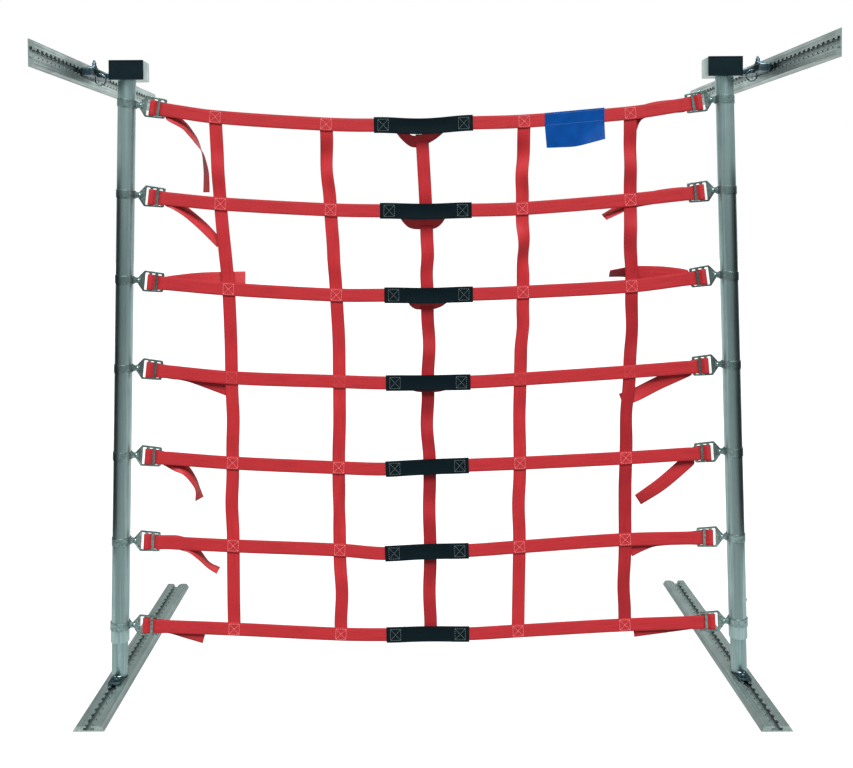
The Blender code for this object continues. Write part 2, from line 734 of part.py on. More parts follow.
def pull_ring(centre):
    """The pull ring of a fitting's plunger, a wire ring that faces the front."""
    bm = bmesh.new()
    loops = []
    for i in range(RING_SIDES):
        turn = 2 * math.pi * i / RING_SIDES
        loop = []
        for x, y in circle(RING_WIRE, WIRE_SIDES):
            reach = RING_RADIUS + x
            point = centre + Vector((reach * math.cos(turn), y, reach * math.sin(turn)))
            loop.append(bm.verts.new(point))
        loops.append(loop)
    for before, after in zip(loops, loops[1:] + loops[:1]):
        for j in range(WIRE_SIDES):
            k = (j + 1) % WIRE_SIDES
            bm.faces.new((before[j], before[k], after[k], after[j]))
    bmesh.ops.recalc_face_normals(bm, faces=bm.faces)
    mesh = bpy.data.meshes.new("pull_ring")
    bm.to_mesh(mesh)
    bm.free()
    return mesh


def end_cap(side):
    """The plastic cap on the head's open front, with its plug inside the box."""
    front = -HEAD_DEPTH / 2 - GAP
    top = HEAD_BOTTOM + HEAD_HEIGHT
    plate_low = (HEAD_INSIDE, front - CAP_THICKNESS, HEAD_BOTTOM)
    plate_high = (HEAD_OUTSIDE, front, top)
    inset = HEAD_WALL + GAP
    plug_low = (HEAD_INSIDE + inset, front - CAP_THICKNESS / 2, HEAD_BOTTOM + inset)
    plug_high = (HEAD_OUTSIDE - inset, front + CAP_PLUG, top - inset)
    name = f"end_cap_{'left' if side < 0 else 'right'}"
    obj = place(name, mirrored(block(plate_low, plate_high), side), CAP_PLASTIC)
    joined(obj, mirrored(block(plug_low, plug_high), side))
    return obj


def rail(kind, side):
    """A cut length of slotted track, on the floor or on a side wall."""
    half, top = (width / 2 for width in RAIL_WIDTHS[kind])
    slot = RAIL_SLOT / 2
    channel, lip = RAIL_CHANNEL / 2, RAIL_HEIGHT - RAIL_LIP
    right = [(half, 0), (top, RAIL_HEIGHT), (slot, RAIL_HEIGHT), (slot, lip)]
    right += [(channel, lip), (channel, RAIL_FLOOR)]
    outline = right + [(-x, z) for x, z in reversed(right)]
    front = RAIL_FRONT_ENDS[kind][0 if side < 0 else 1]
    mesh = extruded([outline], -RAIL_BACK_ENDS[kind], -front)
    mesh.transform(Matrix.Rotation(math.pi / 2, 4, "X"))
    if kind == "floor":
        mesh.transform(Matrix.Translation((side * FLOOR_RAIL_X, 0, 0)))
    else:
        mesh.transform(Matrix.Rotation(-side * math.pi / 2, 4, "Y"))
        mesh.transform(Matrix.Translation((side * SIDE_RAIL_X, 0, SIDE_RAIL_Z)))
    return place(f"{kind}_rail_{'left' if side < 0 else 'right'}", mesh, ALUMINIUM)


def label():
    """The name plate, a piece of coated cloth sewn to the front of the top strap."""
    front = -(WEB_THICKNESS + LABEL_THICKNESS) / 2 - GAP
    columns = []
    for x, top, bottom, curl in LABEL_COLUMNS:
        sewn = top - CROSS_WIDTH / MM
        middle = (sewn + bottom) / 2
        depths = [(top, 0), (sewn, 0), (middle, curl / 3), (bottom, curl)]
        columns.append([(x * MM, front - curl_here * MM, z * MM) for z, curl_here in depths])
    return sheet("label", columns, LABEL_THICKNESS, BLUE_CLOTH)


def build():
    for side in (-1, 1):
        rail("floor", side)
        rail("side", side)
        post(side)
        inner_post(side)
        head(side)
        end_cap(side)
    for row in range(len(CROSS_STRAPS)):
        for side in (-1, 1):
            clamp_band(row, side)
            buckle(row, side)
        cross_strap(row)
        grip(row)
    for column in range(len(DOWN_STRAPS[0])):
        down_strap(column)
    label()


build()
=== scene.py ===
"""A cargo net of red webbing, stretched between two telescopic posts that stand in load rails.

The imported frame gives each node's place at rest, in metres. The sections follow the net as it is
put together: rails, posts, heads, clamps, buckles, straps, grips, stitching and name plate.
"""

import math

import bmesh
import bpy
from mathutils import Matrix, Vector


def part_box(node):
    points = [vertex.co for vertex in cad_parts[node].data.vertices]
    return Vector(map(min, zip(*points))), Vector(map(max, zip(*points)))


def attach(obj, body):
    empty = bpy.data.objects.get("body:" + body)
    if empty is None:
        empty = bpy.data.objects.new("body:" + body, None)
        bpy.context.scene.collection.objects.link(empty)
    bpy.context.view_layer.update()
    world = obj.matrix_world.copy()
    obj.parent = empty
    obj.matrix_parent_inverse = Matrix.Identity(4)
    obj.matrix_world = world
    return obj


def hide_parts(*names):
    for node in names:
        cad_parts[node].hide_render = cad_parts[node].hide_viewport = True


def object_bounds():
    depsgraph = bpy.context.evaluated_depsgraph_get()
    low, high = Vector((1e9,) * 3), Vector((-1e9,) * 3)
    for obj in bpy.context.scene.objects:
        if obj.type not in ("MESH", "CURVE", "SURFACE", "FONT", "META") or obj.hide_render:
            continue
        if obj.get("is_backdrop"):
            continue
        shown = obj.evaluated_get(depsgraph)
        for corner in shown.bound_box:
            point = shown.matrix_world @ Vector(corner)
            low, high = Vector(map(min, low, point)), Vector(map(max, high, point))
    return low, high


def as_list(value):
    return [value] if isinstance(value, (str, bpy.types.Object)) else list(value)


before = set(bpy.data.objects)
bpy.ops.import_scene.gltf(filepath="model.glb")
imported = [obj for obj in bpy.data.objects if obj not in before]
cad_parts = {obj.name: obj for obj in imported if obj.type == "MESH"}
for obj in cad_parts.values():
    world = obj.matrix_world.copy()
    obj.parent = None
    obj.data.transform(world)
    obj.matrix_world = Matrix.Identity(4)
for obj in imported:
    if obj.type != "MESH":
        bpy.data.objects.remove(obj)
cad_low, cad_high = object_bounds()


# Studio
# High daylight from the front, a weak soft box before the net, and a ground that only the camera
# sees white. A card and two dark flags give the metal something to mirror.
MM = 0.001
LENS, SENSOR = 44, 36
CAMERA_AT = (-0.035, -2.57, 1.139)
CAMERA_TILT = math.radians(88.3)
CAMERA_ROLL = math.radians(-0.38)
CAMERA_SHIFT = (0.017, -0.17)
SKY_LIGHT, SKY_IN_METAL, GROUND_IN_METAL = 0.09, 0.55, 0.8
GROUND_SIZE = 20
FLOOR_DROP = 0.2 * MM
FLAG_GAP = 0.12
SUN_POWER, SUN_WIDTH, SUN_TURN = 5.7, math.radians(30), (math.radians(33), math.radians(4), 0)
WHITE = (1, 1, 1, 1)


def linear(code):
    """The linear colour of an sRGB hex value."""
    parts = [int(code[i : i + 2], 16) / 255 for i in (1, 3, 5)]
    return (*(p / 12.92 if p <= 0.04045 else ((p + 0.055) / 1.055) ** 2.4 for p in parts), 1)


def fill(tree, target, inputs):
    """Sets a shader node's inputs to values, or links them to sockets or nodes' first outputs."""
    for socket, value in inputs.items():
        if isinstance(value, bpy.types.Node):
            value = next(output for output in value.outputs if output.enabled)
        if isinstance(value, bpy.types.NodeSocket):
            tree.links.new(value, target.inputs[socket])
        else:
            target.inputs[socket].default_value = value


def node(tree, kind, inputs, **settings):
    """Adds a shader node, sets it up, and fills or links its inputs."""
    added = tree.nodes.new("ShaderNode" + kind)
    for name, value in settings.items():
        setattr(added, name, value)
    fill(tree, added, inputs)
    return added


def finish(name, constants):
    """A material with these constants on its shader, its node tree and the shader."""
    made = bpy.data.materials.new(name)
    made.use_nodes = True
    shader = made.node_tree.nodes["Principled BSDF"]
    fill(made.node_tree, shader, constants)
    return made, made.node_tree, shader


def in_scene(name, bm, material):
    """A new object of this mesh and material."""
    mesh = bpy.data.meshes.new(name)
    bm.to_mesh(mesh)
    bm.free()
    mesh.materials.append(material)
    made = bpy.data.objects.new(name, mesh)
    scene.collection.objects.link(made)
    return made


scene = bpy.context.scene
camera = bpy.data.objects.new("camera", bpy.data.cameras.new("camera"))
camera.data.lens = LENS
camera.data.sensor_width = SENSOR
camera.data.shift_x, camera.data.shift_y = CAMERA_SHIFT
look = Matrix.Rotation(CAMERA_TILT, 4, "X") @ Matrix.Rotation(CAMERA_ROLL, 4, "Z")
camera.matrix_world = Matrix.Translation(CAMERA_AT) @ look
scene.collection.objects.link(camera)
scene.camera = camera
scene.view_settings.view_transform = "Standard"

scene.world = bpy.data.worlds.new("studio")
scene.world.use_nodes = True
sky = scene.world.node_tree
sky.nodes.clear()
seen = node(sky, "LightPath", {})
mirrored, direct = seen.outputs["Is Glossy Ray"], seen.outputs["Is Camera Ray"]
strength = node(sky, "Math", {0: mirrored, 1: SKY_IN_METAL, 2: SKY_LIGHT}, operation="MULTIPLY_ADD")
room = node(sky, "Background", {"Color": linear("#e6eeee"), "Strength": strength})
white = node(sky, "Background", {"Color": WHITE, "Strength": 1.0})
both = node(sky, "MixShader", {0: direct, 1: room, 2: white})
node(sky, "OutputWorld", {"Surface": both})

SOFT_BOXES = [
    # name, place, aim, width, height, power, whether it lights dull surfaces, and shows in shiny
    ("front_box", (0.1, -2.33, 1.5), (0, -0.03, 0.75), 0.9, 0.7, 8, True, False),
    ("front_card", (0.05, -1.43, 0.9), (0.05, -0.03, 0.9), 1.4, 1.8, 0.6, False, True),
    ("behind", (0.3, 2.6, 2.0), (0, 0, 0.8), 2.0, 1.6, 8, True, True),
]
for name, place, aim, width, height, power, dull, shiny in SOFT_BOXES:
    box = bpy.data.objects.new(name, bpy.data.lights.new(name, "AREA"))
    box.data.shape = "RECTANGLE"
    box.data.size = width
    box.data.size_y = height
    box.data.energy = power
    turn = (Vector(aim) - Vector(place)).to_track_quat("-Z", "Y")
    box.matrix_world = Matrix.Translation(place) @ turn.to_matrix().to_4x4()
    box.visible_camera = False
    box.visible_diffuse = dull
    box.visible_glossy = shiny
    scene.collection.objects.link(box)

sun = bpy.data.objects.new("daylight", bpy.data.lights.new("daylight", "SUN"))
sun.data.energy = SUN_POWER
sun.data.angle = SUN_WIDTH
sun.rotation_euler = SUN_TURN
scene.collection.objects.link(sun)

matt = {"Base Color": linear("#616464"), "Roughness": 0.9}
paper, tree, shader = finish("white_paper_sweep", matt)
seen = node(tree, "LightPath", {})
mirrored, direct = seen.outputs["Is Glossy Ray"], seen.outputs["Is Camera Ray"]
glow = node(tree, "Math", {0: mirrored, 1: GROUND_IN_METAL, 2: direct}, operation="MULTIPLY_ADD")
fill(tree, shader, {"Emission Color": WHITE, "Emission Strength": glow})
bm = bmesh.new()
bmesh.ops.create_grid(bm, x_segments=1, y_segments=1, size=GROUND_SIZE)
bmesh.ops.translate(bm, verts=bm.verts, vec=(0, 0, -FLOOR_DROP))
in_scene("ground", bm, paper)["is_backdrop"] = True

FLAGS = [
    # name, centre, and half its size across and along
    ("flag_left", (cad_low.x - FLAG_GAP, -0.13, 0.76), (0, 0.16, 0.46)),
    ("flag_right", (cad_high.x + FLAG_GAP, -0.19, 0.76), (0, 0.2, 0.46)),
    ("dark_wall", (0, -2.23, 0.52), (3, 0, 0.52)),
]
black_felt, _, _ = finish("black_felt", {"Base Color": linear("#0c0e0f"), "Roughness": 1.0})
for name, centre, half in FLAGS:
    bm = bmesh.new()
    place = Matrix.Translation(centre) @ Matrix.Diagonal((*half, 1))
    bmesh.ops.create_cube(bm, size=2, matrix=place)
    flag = in_scene(name, bm, black_felt)
    flag.visible_camera = False
    flag.visible_diffuse = False
    flag.visible_shadow = False
    flag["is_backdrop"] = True


# Load rails
# Two lengths of slotted track lie on the floor and two are fixed to the walls. Each is extruded
# aluminium with round holes along its slot, milled at a pitch of one inch, and cut through a hole.
SIDES = {"left": -1, "right": 1}
HOLE_PITCH = 25.4 * MM
HOLE_RADIUS = 10.2 * MM
HOLE_ARC = 4
SLOT_HALF = 5.2 * MM
RAIL_FLOOR = 3 * MM
RAIL_LIP = 3 * MM
RAIL_FOOT = 1.4 * MM
CHANNEL_HALF = 12 * MM
SIDE_STEPS = {"floor": 7 * MM, "side": 5 * MM}  # how much each side narrows towards the top
EDGE = 0.5 * MM
SAME_POINT = 0.001 * MM


def middle_of(name):
    """The place across, the depth and the height of the middle of a node's box."""
    return [(low + high) / 2 for low, high in zip(*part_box(name))]


def bent_grid(columns, rows, place, weave=None):
    """A grid of points, each moved to where place(column, row) says. On cloth, weave(column, row)
    is its place on the cloth laid flat."""
    bm = bmesh.new()
    bmesh.ops.create_grid(bm, x_segments=columns - 1, y_segments=rows - 1, size=1)
    flat = bm.loops.layers.uv.new("weave") if weave else None
    for vert in bm.verts:
        column = round((vert.co.x + 1) / 2 * (columns - 1))
        row = round((vert.co.y + 1) / 2 * (rows - 1))
        vert.co = place(column, row)
        if weave:
            for loop in vert.link_loops:
                loop[flat].uv = weave(column, row)
    return bm


def cleaned(bm, reach=SAME_POINT):
    """Merges points that meet, closes open ends and turns all faces outwards."""
    bmesh.ops.remove_doubles(bm, verts=bm.verts, dist=reach)
    bmesh.ops.holes_fill(bm, edges=[e for e in bm.edges if e.is_boundary])
    bmesh.ops.recalc_face_normals(bm, faces=bm.faces)
    return bm


def settle(name, bm, material, slot, *nodes, sharp=40):
    """Makes a piece of a mesh. It rides on the net's one body and stands for the named nodes."""
    piece = in_scene(name, bm, material)
    piece.data.shade_smooth()
    piece.data.set_sharp_from_angle(angle=math.radians(sharp))
    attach(piece, "root")
    if nodes:
        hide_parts(*nodes)
    return piece


def metal(name, light, dark, rough, grain, bump=0.1):
    """Worked metal, lighter and darker along its grain, whose size along each axis is in mm."""
    made, tree, shader = finish(name, {"Metallic": 1.0})
    place = node(tree, "TexCoord", {}).outputs["Object"]
    drawn = node(tree, "Mapping", {"Vector": place, "Scale": [1 / (size * MM) for size in grain]})
    streaks = node(tree, "TexNoise", {"Vector": drawn, "Scale": 1.0, "Detail": 3.0})
    clouds = node(tree, "TexNoise", {"Vector": place, "Scale": 1 / (55 * MM), "Detail": 3.0})
    tone = node(tree, "Math", {0: clouds, 1: 0.45, 2: streaks}, operation="MULTIPLY_ADD")
    share = node(tree, "MapRange", {0: tone, 1: 0.55, 2: 0.9, 3: 0.0, 4: 1.0})
    colour = node(tree, "Mix", {0: share, 6: linear(dark), 7: linear(light)}, data_type="RGBA")
    dull = node(tree, "MapRange", {0: tone, 1: 0.5, 2: 0.95, 3: rough + 0.08, 4: rough - 0.06})
    relief = node(tree, "Bump", {"Height": streaks, "Strength": bump, "Distance": 0.3 * MM})
    fill(tree, shader, {"Base Color": colour, "Roughness": dull, "Normal": relief})
    return made


# Mill-finish aluminium: die lines run along the rail, dulled by a grey oxide
mill_aluminium = metal("mill_finish_aluminium", "#aab8b5", "#84938f", 0.42, (3, 400, 3), 0.2)


def slot_edge(far, near):
    """(place, half width) along the slot, from its far end, which halves a hole, to the near."""
    reach = math.acos(SLOT_HALF / HOLE_RADIUS)
    found = []
    for hole in range(math.ceil((far - near) / HOLE_PITCH) + 1):
        for step in range(-HOLE_ARC, HOLE_ARC + 1):
            turn = reach * step / HOLE_ARC
            back = far - hole * HOLE_PITCH - HOLE_RADIUS * math.sin(turn)
            if near < back <= far:
                found.append((back, HOLE_RADIUS * math.cos(turn)))
    return [*found, (near, SLOT_HALF)]


def rail_profile(lip, height):
    """Half of the rail's section, from the bottom of its side round to the channel's floor."""
    return [
        (low_half, 0),
        (low_half, RAIL_FOOT),
        (top_half + EDGE, height - EDGE),
        (top_half - EDGE, height),
        (lip + EDGE, height),
        (lip, height - EDGE),
        (lip, height - RAIL_LIP),
        (max(CHANNEL_HALF, lip + EDGE), height - RAIL_LIP),
        (CHANNEL_HALF, RAIL_FLOOR),
    ]


for kind in ("floor", "side"):
    for name, side in SIDES.items():
        low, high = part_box(f"{kind}_rail_{name}")
        size, (axis_x, _, axis_z) = high - low, middle_of(f"{kind}_rail_{name}")
        low_half, rail_height = (size.x / 2, size.z) if kind == "floor" else (size.z / 2, size.x)
        top_half = low_half - SIDE_STEPS[kind]
        stations = slot_edge(high.y, low.y)
        around = 2 * len(rail_profile(SLOT_HALF, rail_height)) + 1

        def rail_point(column, row):
            back, lip = stations[column]
            half = rail_profile(lip, rail_height)
            section = half + [(-across, up) for across, up in reversed(half)]
            across, up = section[row % len(section)]
            if kind == "floor":
                return Vector((axis_x + across, back, low.z + up))
            wall = high.x if side > 0 else low.x
            return Vector((wall - side * up, back, axis_z + across))

        bm = cleaned(bent_grid(len(stations), around, rail_point))
        track = f"{kind}_track_{name}"
        settle(track, bm, mill_aluminium, "rail_aluminium", f"{kind}_rail_{name}", sharp=25)


# Inner tubes
# The lower, thinner tube of each post slides inside the outer one to set the height. It is welded
# to a foot plate, and a stud under the plate drops through a hole of the floor rail.
POST_RADIUS = 21 * MM
COLLAR_RADIUS = 21.9 * MM
INNER_RADIUS = 18.9 * MM
INNER_WALL = 2 * MM
GAP = 0.3 * MM  # between two pieces that lie together
FOOT_HEIGHT = 6 * MM
FOOT_HALF = 15 * MM
FOOT_DEPTH = 72 * MM
FOOT_EDGE = 1.6 * MM
BEAD = 1.8 * MM
TUBE_SIDES = 72
STUD_SIDES = 24
# Profiles of turned pieces: (radius, height) in mm
FOOT_STUD = [(0, 11), (4, 11), (5.5, 9.5), (6, 7.5), (6, 5.5), (8.5, 5), (8.5, 3), (0, 3)]
FOOT_STUD_AT = ((-38, 3), (-25, -4))  # back from the net's plane and in from the post, in mm
FOOT_STUD_SINK = 4 * MM
FOOT_PEG = [(0, -9), (4.2, -9), (5.5, -7.5), (5.5, 0), (0, 0)]
FOOT_PEG_SINK = 2 * MM

foot_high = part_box("inner_post_right")[1]
post_low, post_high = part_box("post_right")
foot_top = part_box("floor_rail_right")[1].z + GAP + FOOT_HEIGHT
NET_Y = (post_low.y + post_high.y) / 2


def post_x(side, height):
    """Across from the middle to the post's axis, which leans in towards the top."""
    foot, head = post_high.x - COLLAR_RADIUS, post_low.x + POST_RADIUS
    share = (height - post_low.z) / (post_high.z - post_low.z)
    return side * (foot + (head - foot) * share)


def spun(profile, steps=TUBE_SIDES, unit=1):
    """Turns a profile of (radius, height) round the Z axis. unit is the metres to one of it."""
    bm = bmesh.new()
    line = [bm.verts.new((radius * unit, 0, height * unit)) for radius, height in profile]
    edges = [bm.edges.new(pair) for pair in zip(line, line[1:])]
    whole = {"angle": 2 * math.pi, "steps": steps, "use_merge": True}
    bmesh.ops.spin(bm, geom=[*line, *edges], cent=(0, 0, 0), axis=(0, 0, 1), **whole)
    return cleaned(bm)


def moved(bm, matrix):
    """Moves a whole mesh by a matrix."""
    bmesh.ops.transform(bm, verts=bm.verts, matrix=matrix)
    return bm


def add_to(bm, other, matrix=Matrix.Identity(4)):
    """Joins another mesh in, after it is moved by the matrix."""
    moved(other, matrix)
    mesh = bpy.data.meshes.new("part")
    other.to_mesh(mesh)
    other.free()
    bm.from_mesh(mesh)
    bpy.data.meshes.remove(mesh)


def slab(low, high, rounding, segments=3):
    """A block between two corners with rounded edges."""
    bm = bmesh.new()
    low, high = Vector(low), Vector(high)
    bmesh.ops.create_cube(bm, size=1)
    bmesh.ops.scale(bm, verts=bm.verts, vec=high - low)
    bmesh.ops.translate(bm, verts=bm.verts, vec=(low + high) / 2)
    soft = {"affect": "EDGES", "profile": 0.5, "material": -1}
    bmesh.ops.bevel(bm, geom=bm.edges, offset=rounding, segments=segments, **soft)
    return bm


def leaned(bm, side):
    """Shears an upright mesh on the Z axis onto the post's line."""
    for vert in bm.verts:
        vert.co.x += post_x(side, vert.co.z)
        vert.co.y += NET_Y


# Zinc-plated drawn steel tube: a blue-green passivated shine with fine lengthwise lines
zinc_tube = metal("zinc_plated_drawn_tube", "#a3bab9", "#869f9f", 0.38, (5, 5, 600), 0.06)
# The inner tube is painted darker than the outer one: painted shade low on the post
inner_zinc = metal("inner_zinc_tube_painted_shade", "#90a6a5", "#748c8c", 0.38, (5, 5, 600), 0.06)
# Blackened steel: a blue-black oxide, worn a little lighter on the edges of the casting
black_oxide = metal("black_oxide_steel", "#45565b", "#1f2c31", 0.42, (9, 9, 9), 0.3)

for name, side in SIDES.items():
    bore, top = INNER_RADIUS - INNER_WALL, foot_high.z
    start = (bore, foot_top - FOOT_HEIGHT / 2)
    rim = [(INNER_RADIUS, top - EDGE), (INNER_RADIUS - EDGE, top), (bore, top)]
    bm = spun([start, (INNER_RADIUS, start[1]), *rim, start])
    turns = [math.pi * i / 6 for i in range(-2, 9)]
    bead = [(INNER_RADIUS + BEAD * 0.6 * math.cos(a), foot_top + BEAD * math.sin(a)) for a in turns]
    add_to(bm, spun([*bead, bead[0]]))
    leaned(bm, side)
    settle(f"foot_tube_{name}", bm, inner_zinc, "post_tube", f"inner_post_{name}")

    front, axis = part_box(f"inner_post_{name}")[0].y, post_x(side, foot_top)
    corner = (axis + FOOT_HALF, front + FOOT_DEPTH, foot_top)
    bm = slab((axis - FOOT_HALF, front, foot_top - FOOT_HEIGHT), corner, FOOT_EDGE)
    for back, inward in FOOT_STUD_AT:
        at = (axis - side * inward * MM, NET_Y + back * MM, foot_top - FOOT_STUD_SINK)
        add_to(bm, spun(FOOT_STUD, STUD_SIDES, MM), Matrix.Translation(at))
    at = (middle_of(f"floor_rail_{name}")[0], NET_Y, foot_top - FOOT_HEIGHT + FOOT_PEG_SINK)
    add_to(bm, spun(FOOT_PEG, STUD_SIDES, MM), Matrix.Translation(at))
    settle(f"foot_plate_{name}", bm, black_oxide, "post_tube", f"inner_post_{name}")


# Outer tubes
# A drawn steel tube, zinc plated, swaged to a slightly wider collar at its lower end. A spring
# button sits in its side and snaps into the holes of the inner tube.
POST_WALL = 1.75 * MM
COLLAR_HEIGHT = 48 * MM
COLLAR_ROUND = 1.2 * MM
COLLAR_EDGE = 0.3 * MM
BUTTON = [(0, 3.4), (2.4, 2.9), (3.6, 1.2), (3.8, -1), (0, -1)]  # (radius, height) in mm
BUTTON_UP = 90 * MM
BUTTON_SINK = 0.4 * MM
ON_X = Matrix.Rotation(math.pi / 2, 4, "Y")  # lays what was turned on the Z axis along the X axis

for name, side in SIDES.items():
    low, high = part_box(f"post_{name}")
    collar = low.z + COLLAR_HEIGHT
    bore = POST_RADIUS - POST_WALL
    profile = [
        (bore, low.z),
        (COLLAR_RADIUS - EDGE, low.z),
        (COLLAR_RADIUS, low.z + EDGE),
        (COLLAR_RADIUS, collar - COLLAR_ROUND),
        (COLLAR_RADIUS - COLLAR_EDGE, collar - COLLAR_EDGE),
        (POST_RADIUS, collar + COLLAR_ROUND),
        (POST_RADIUS, (collar + high.z) / 2),
        (POST_RADIUS, high.z),
        (bore, high.z),
        (bore, low.z),
    ]
    bm = spun(profile)
    leaned(bm, side)
    if side > 0:
        height = low.z + BUTTON_UP
        at = Matrix.Translation((post_x(side, height) + POST_RADIUS - BUTTON_SINK, NET_Y, height))
        add_to(bm, spun(BUTTON, STUD_SIDES, MM), at @ ON_X)
    settle(f"outer_tube_{name}", bm, zinc_tube, "post_tube", f"post_{name}")


# Heads
# A short box section sits across the top of each post. An arm behind it carries a double-stud
# rail fitting with a spring plunger, and a wire ring pulls the plunger up to free the fitting.
HEAD_WALL = 3 * MM
HEAD_DEPTH = 55 * MM
HEAD_CORNER = 4 * MM
HEAD_EDGE = 0.4 * MM
FULL_CIRCLE = [math.pi * i / 4 for i in range(9)]
UPRIGHT = Matrix.Rotation(math.pi / 2, 4, "X")  # stands what lies in the XY plane up


def rounded(points, radius, steps=4, closed=True):
    """A line of points whose corners are drawn as curves of about this radius."""
    points = [Vector(p) for p in points]
    count, made = len(points), []
    for i, corner in enumerate(points):
        if not closed and i in (0, count - 1):
            made.append(corner)
            continue
        before, after = points[i - 1] - corner, points[(i + 1) % count] - corner
        turn = math.pi - before.angle(after)
        back = min(radius * math.tan(turn / 2), 0.49 * before.length, 0.49 * after.length)
        start, end = corner + before.normalized() * back, corner + after.normalized() * back
        for step in range(steps + 1):
            share = step / steps
            made.append(start.lerp(corner, share).lerp(corner.lerp(end, share), share))
    return made


def plate(outlines, thickness, edge):
    """A flat plate in the XY plane, cut to closed outlines, with its edges rounded."""
    curve = bpy.data.curves.new("outline", "CURVE")
    curve.dimensions = "2D"
    curve.fill_mode = "BOTH"
    curve.extrude = thickness / 2 - edge
    curve.bevel_depth = edge
    curve.bevel_resolution = 1
    curve.offset = -edge
    for outline in outlines:
        spline = curve.splines.new("POLY")
        spline.points.add(len(outline) - 1)
        for point, place in zip(spline.points, outline):
            point.co = (*place.xy, 0, 1)
        spline.use_cyclic_u = True
    holder = bpy.data.objects.new("outline", curve)
    bm = bmesh.new()
    bm.from_mesh(holder.to_mesh())
    holder.to_mesh_clear()
    bpy.data.objects.remove(holder)
    bpy.data.curves.remove(curve)
    return cleaned(bm, 10 * SAME_POINT)


# Sawn aluminium box: a satin surface, a little brighter than the rails
box_aluminium = metal("sawn_aluminium_box", "#b4c2bf", "#93a5a2", 0.38, (4, 4, 120), 0.15)
# Zinc-plated fitting steel, coloured a dark grey-green, lighter and darker in patches
fitting_zinc = metal("zinc_plated_fitting", "#5f747b", "#2c3f46", 0.36, (7, 7, 7), 0.3)

# The fitting, made for the right side in mm: X runs out from the net's middle, Y back from its
# plane and Z up from the rail's middle
FITTING_BLOCKS = [
    # two corners, rounding and its steps: neck, body, plunger's seat and the ring's ear
    ((743, -20, -6), (770, 19, 8), 2, 3),
    ((757, -110, -9), (785, 20, 10), 4, 4),
    ((758.5, -96, 8), (776, -64, 13), 2.4, 3),
    ((749, -72, -10), (760, -64, 0), 1.5, 2),
]
STUD = [(0, 12), (6.4, 12), (8, 10.4), (8, 7), (4.4, 6), (4.4, -4), (0, -4)]
STUDS_AT = ((781, -92, 0), (781, -22, 0))
PIN = [(0, 29), (1.8, 28.6), (3, 27), (3, 17), (5.6, 16.4), (6.4, 15), (6.4, 11), (5, 9), (0, 9)]
COIL = [(4.2 + 0.7 * math.cos(a), 18 + 0.7 * math.sin(a)) for a in FULL_CIRCLE]
COILS, COIL_PITCH = 4, 1.5
PIN_AT = Vector((763.5, -80, 0))
RING = [(12.5 + 1.5 * math.cos(a), 1.5 * math.sin(a)) for a in FULL_CIRCLE]
RING_AT = (753, -68, -15)
FITTING_SIDES = 20

for name, side in SIDES.items():
    cap_low, cap_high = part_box(f"end_cap_{name}")
    frames = []
    for inset, rounding in ((0, HEAD_CORNER), (HEAD_WALL, HEAD_CORNER / 2)):
        left, right = cap_low.x + inset, cap_high.x - inset
        bottom, top = cap_low.z + inset, cap_high.z - inset
        corners = [(left, bottom), (right, bottom), (right, top), (left, top)]
        frames.append(rounded(corners, rounding))
    place = Matrix.Translation((0, NET_Y, 0)) @ UPRIGHT
    bm = moved(plate(frames, HEAD_DEPTH, HEAD_EDGE), place)
    settle(f"head_box_{name}", bm, box_aluminium, "head_metal", f"head_{name}")

    bm = bmesh.new()
    for block in FITTING_BLOCKS:
        add_to(bm, slab(*block))
    for at in STUDS_AT:
        add_to(bm, spun(STUD, FITTING_SIDES), Matrix.Translation(at) @ ON_X)
    add_to(bm, spun(PIN, FITTING_SIDES), Matrix.Translation(PIN_AT))
    for turn in range(COILS):
        at = PIN_AT + Vector((0, 0, COIL_PITCH * turn))
        add_to(bm, spun(COIL, FITTING_SIDES), Matrix.Translation(at))
    add_to(bm, spun(RING, 2 * FITTING_SIDES), Matrix.Translation(RING_AT) @ UPRIGHT)
    place = Matrix.Translation((0, NET_Y, middle_of(f"side_rail_{name}")[2]))
    mirrored = Matrix.Diagonal((side * MM, MM, MM, 1))
    moved(bm, place @ mirrored)
    if side < 0:
        bmesh.ops.reverse_faces(bm, faces=bm.faces)
    settle(f"rail_fitting_{name}", bm, fitting_zinc, "head_metal", f"head_{name}")


# End caps
# A moulded plastic cap closes the box's open front. Its plug grips inside the walls, and its face
# is sunk a little within a raised rim.
CAP_RIM = 2.6 * MM
CAP_SINK = 0.7 * MM
CAP_EDGE = 0.9 * MM
PLUG_OVERLAP = 1 * MM
PLUG_EDGE = 1.5 * MM


def grained(name, constants, dark, light, patch, grain, detail, strength):
    """A dull finish, from dark to light in patches and rough with a grain, both sized in mm."""
    made, tree, shader = finish(name, constants)
    place = node(tree, "TexCoord", {}).outputs["Object"]
    tones, rises = (
        node(tree, "TexNoise", {"Vector": place, "Scale": 1 / (size * MM), "Detail": detail})
        for size in (patch, grain)
    )
    colour = node(tree, "Mix", {0: tones, 6: linear(dark), 7: linear(light)}, data_type="RGBA")
    relief = node(tree, "Bump", {"Height": rises, "Strength": strength, "Distance": 0.2 * MM})
    fill(tree, shader, {"Base Color": colour, "Normal": relief})
    return made


# Moulded black polyethylene: a fine spark-eroded grain that turns the shine to a dull sheen
dull = {"Roughness": 0.5, "Specular IOR Level": 0.06}
cap_plastic = grained("moulded_black_polyethylene", dull, "#0b171b", "#15262b", 20, 0.8, 2, 0.35)

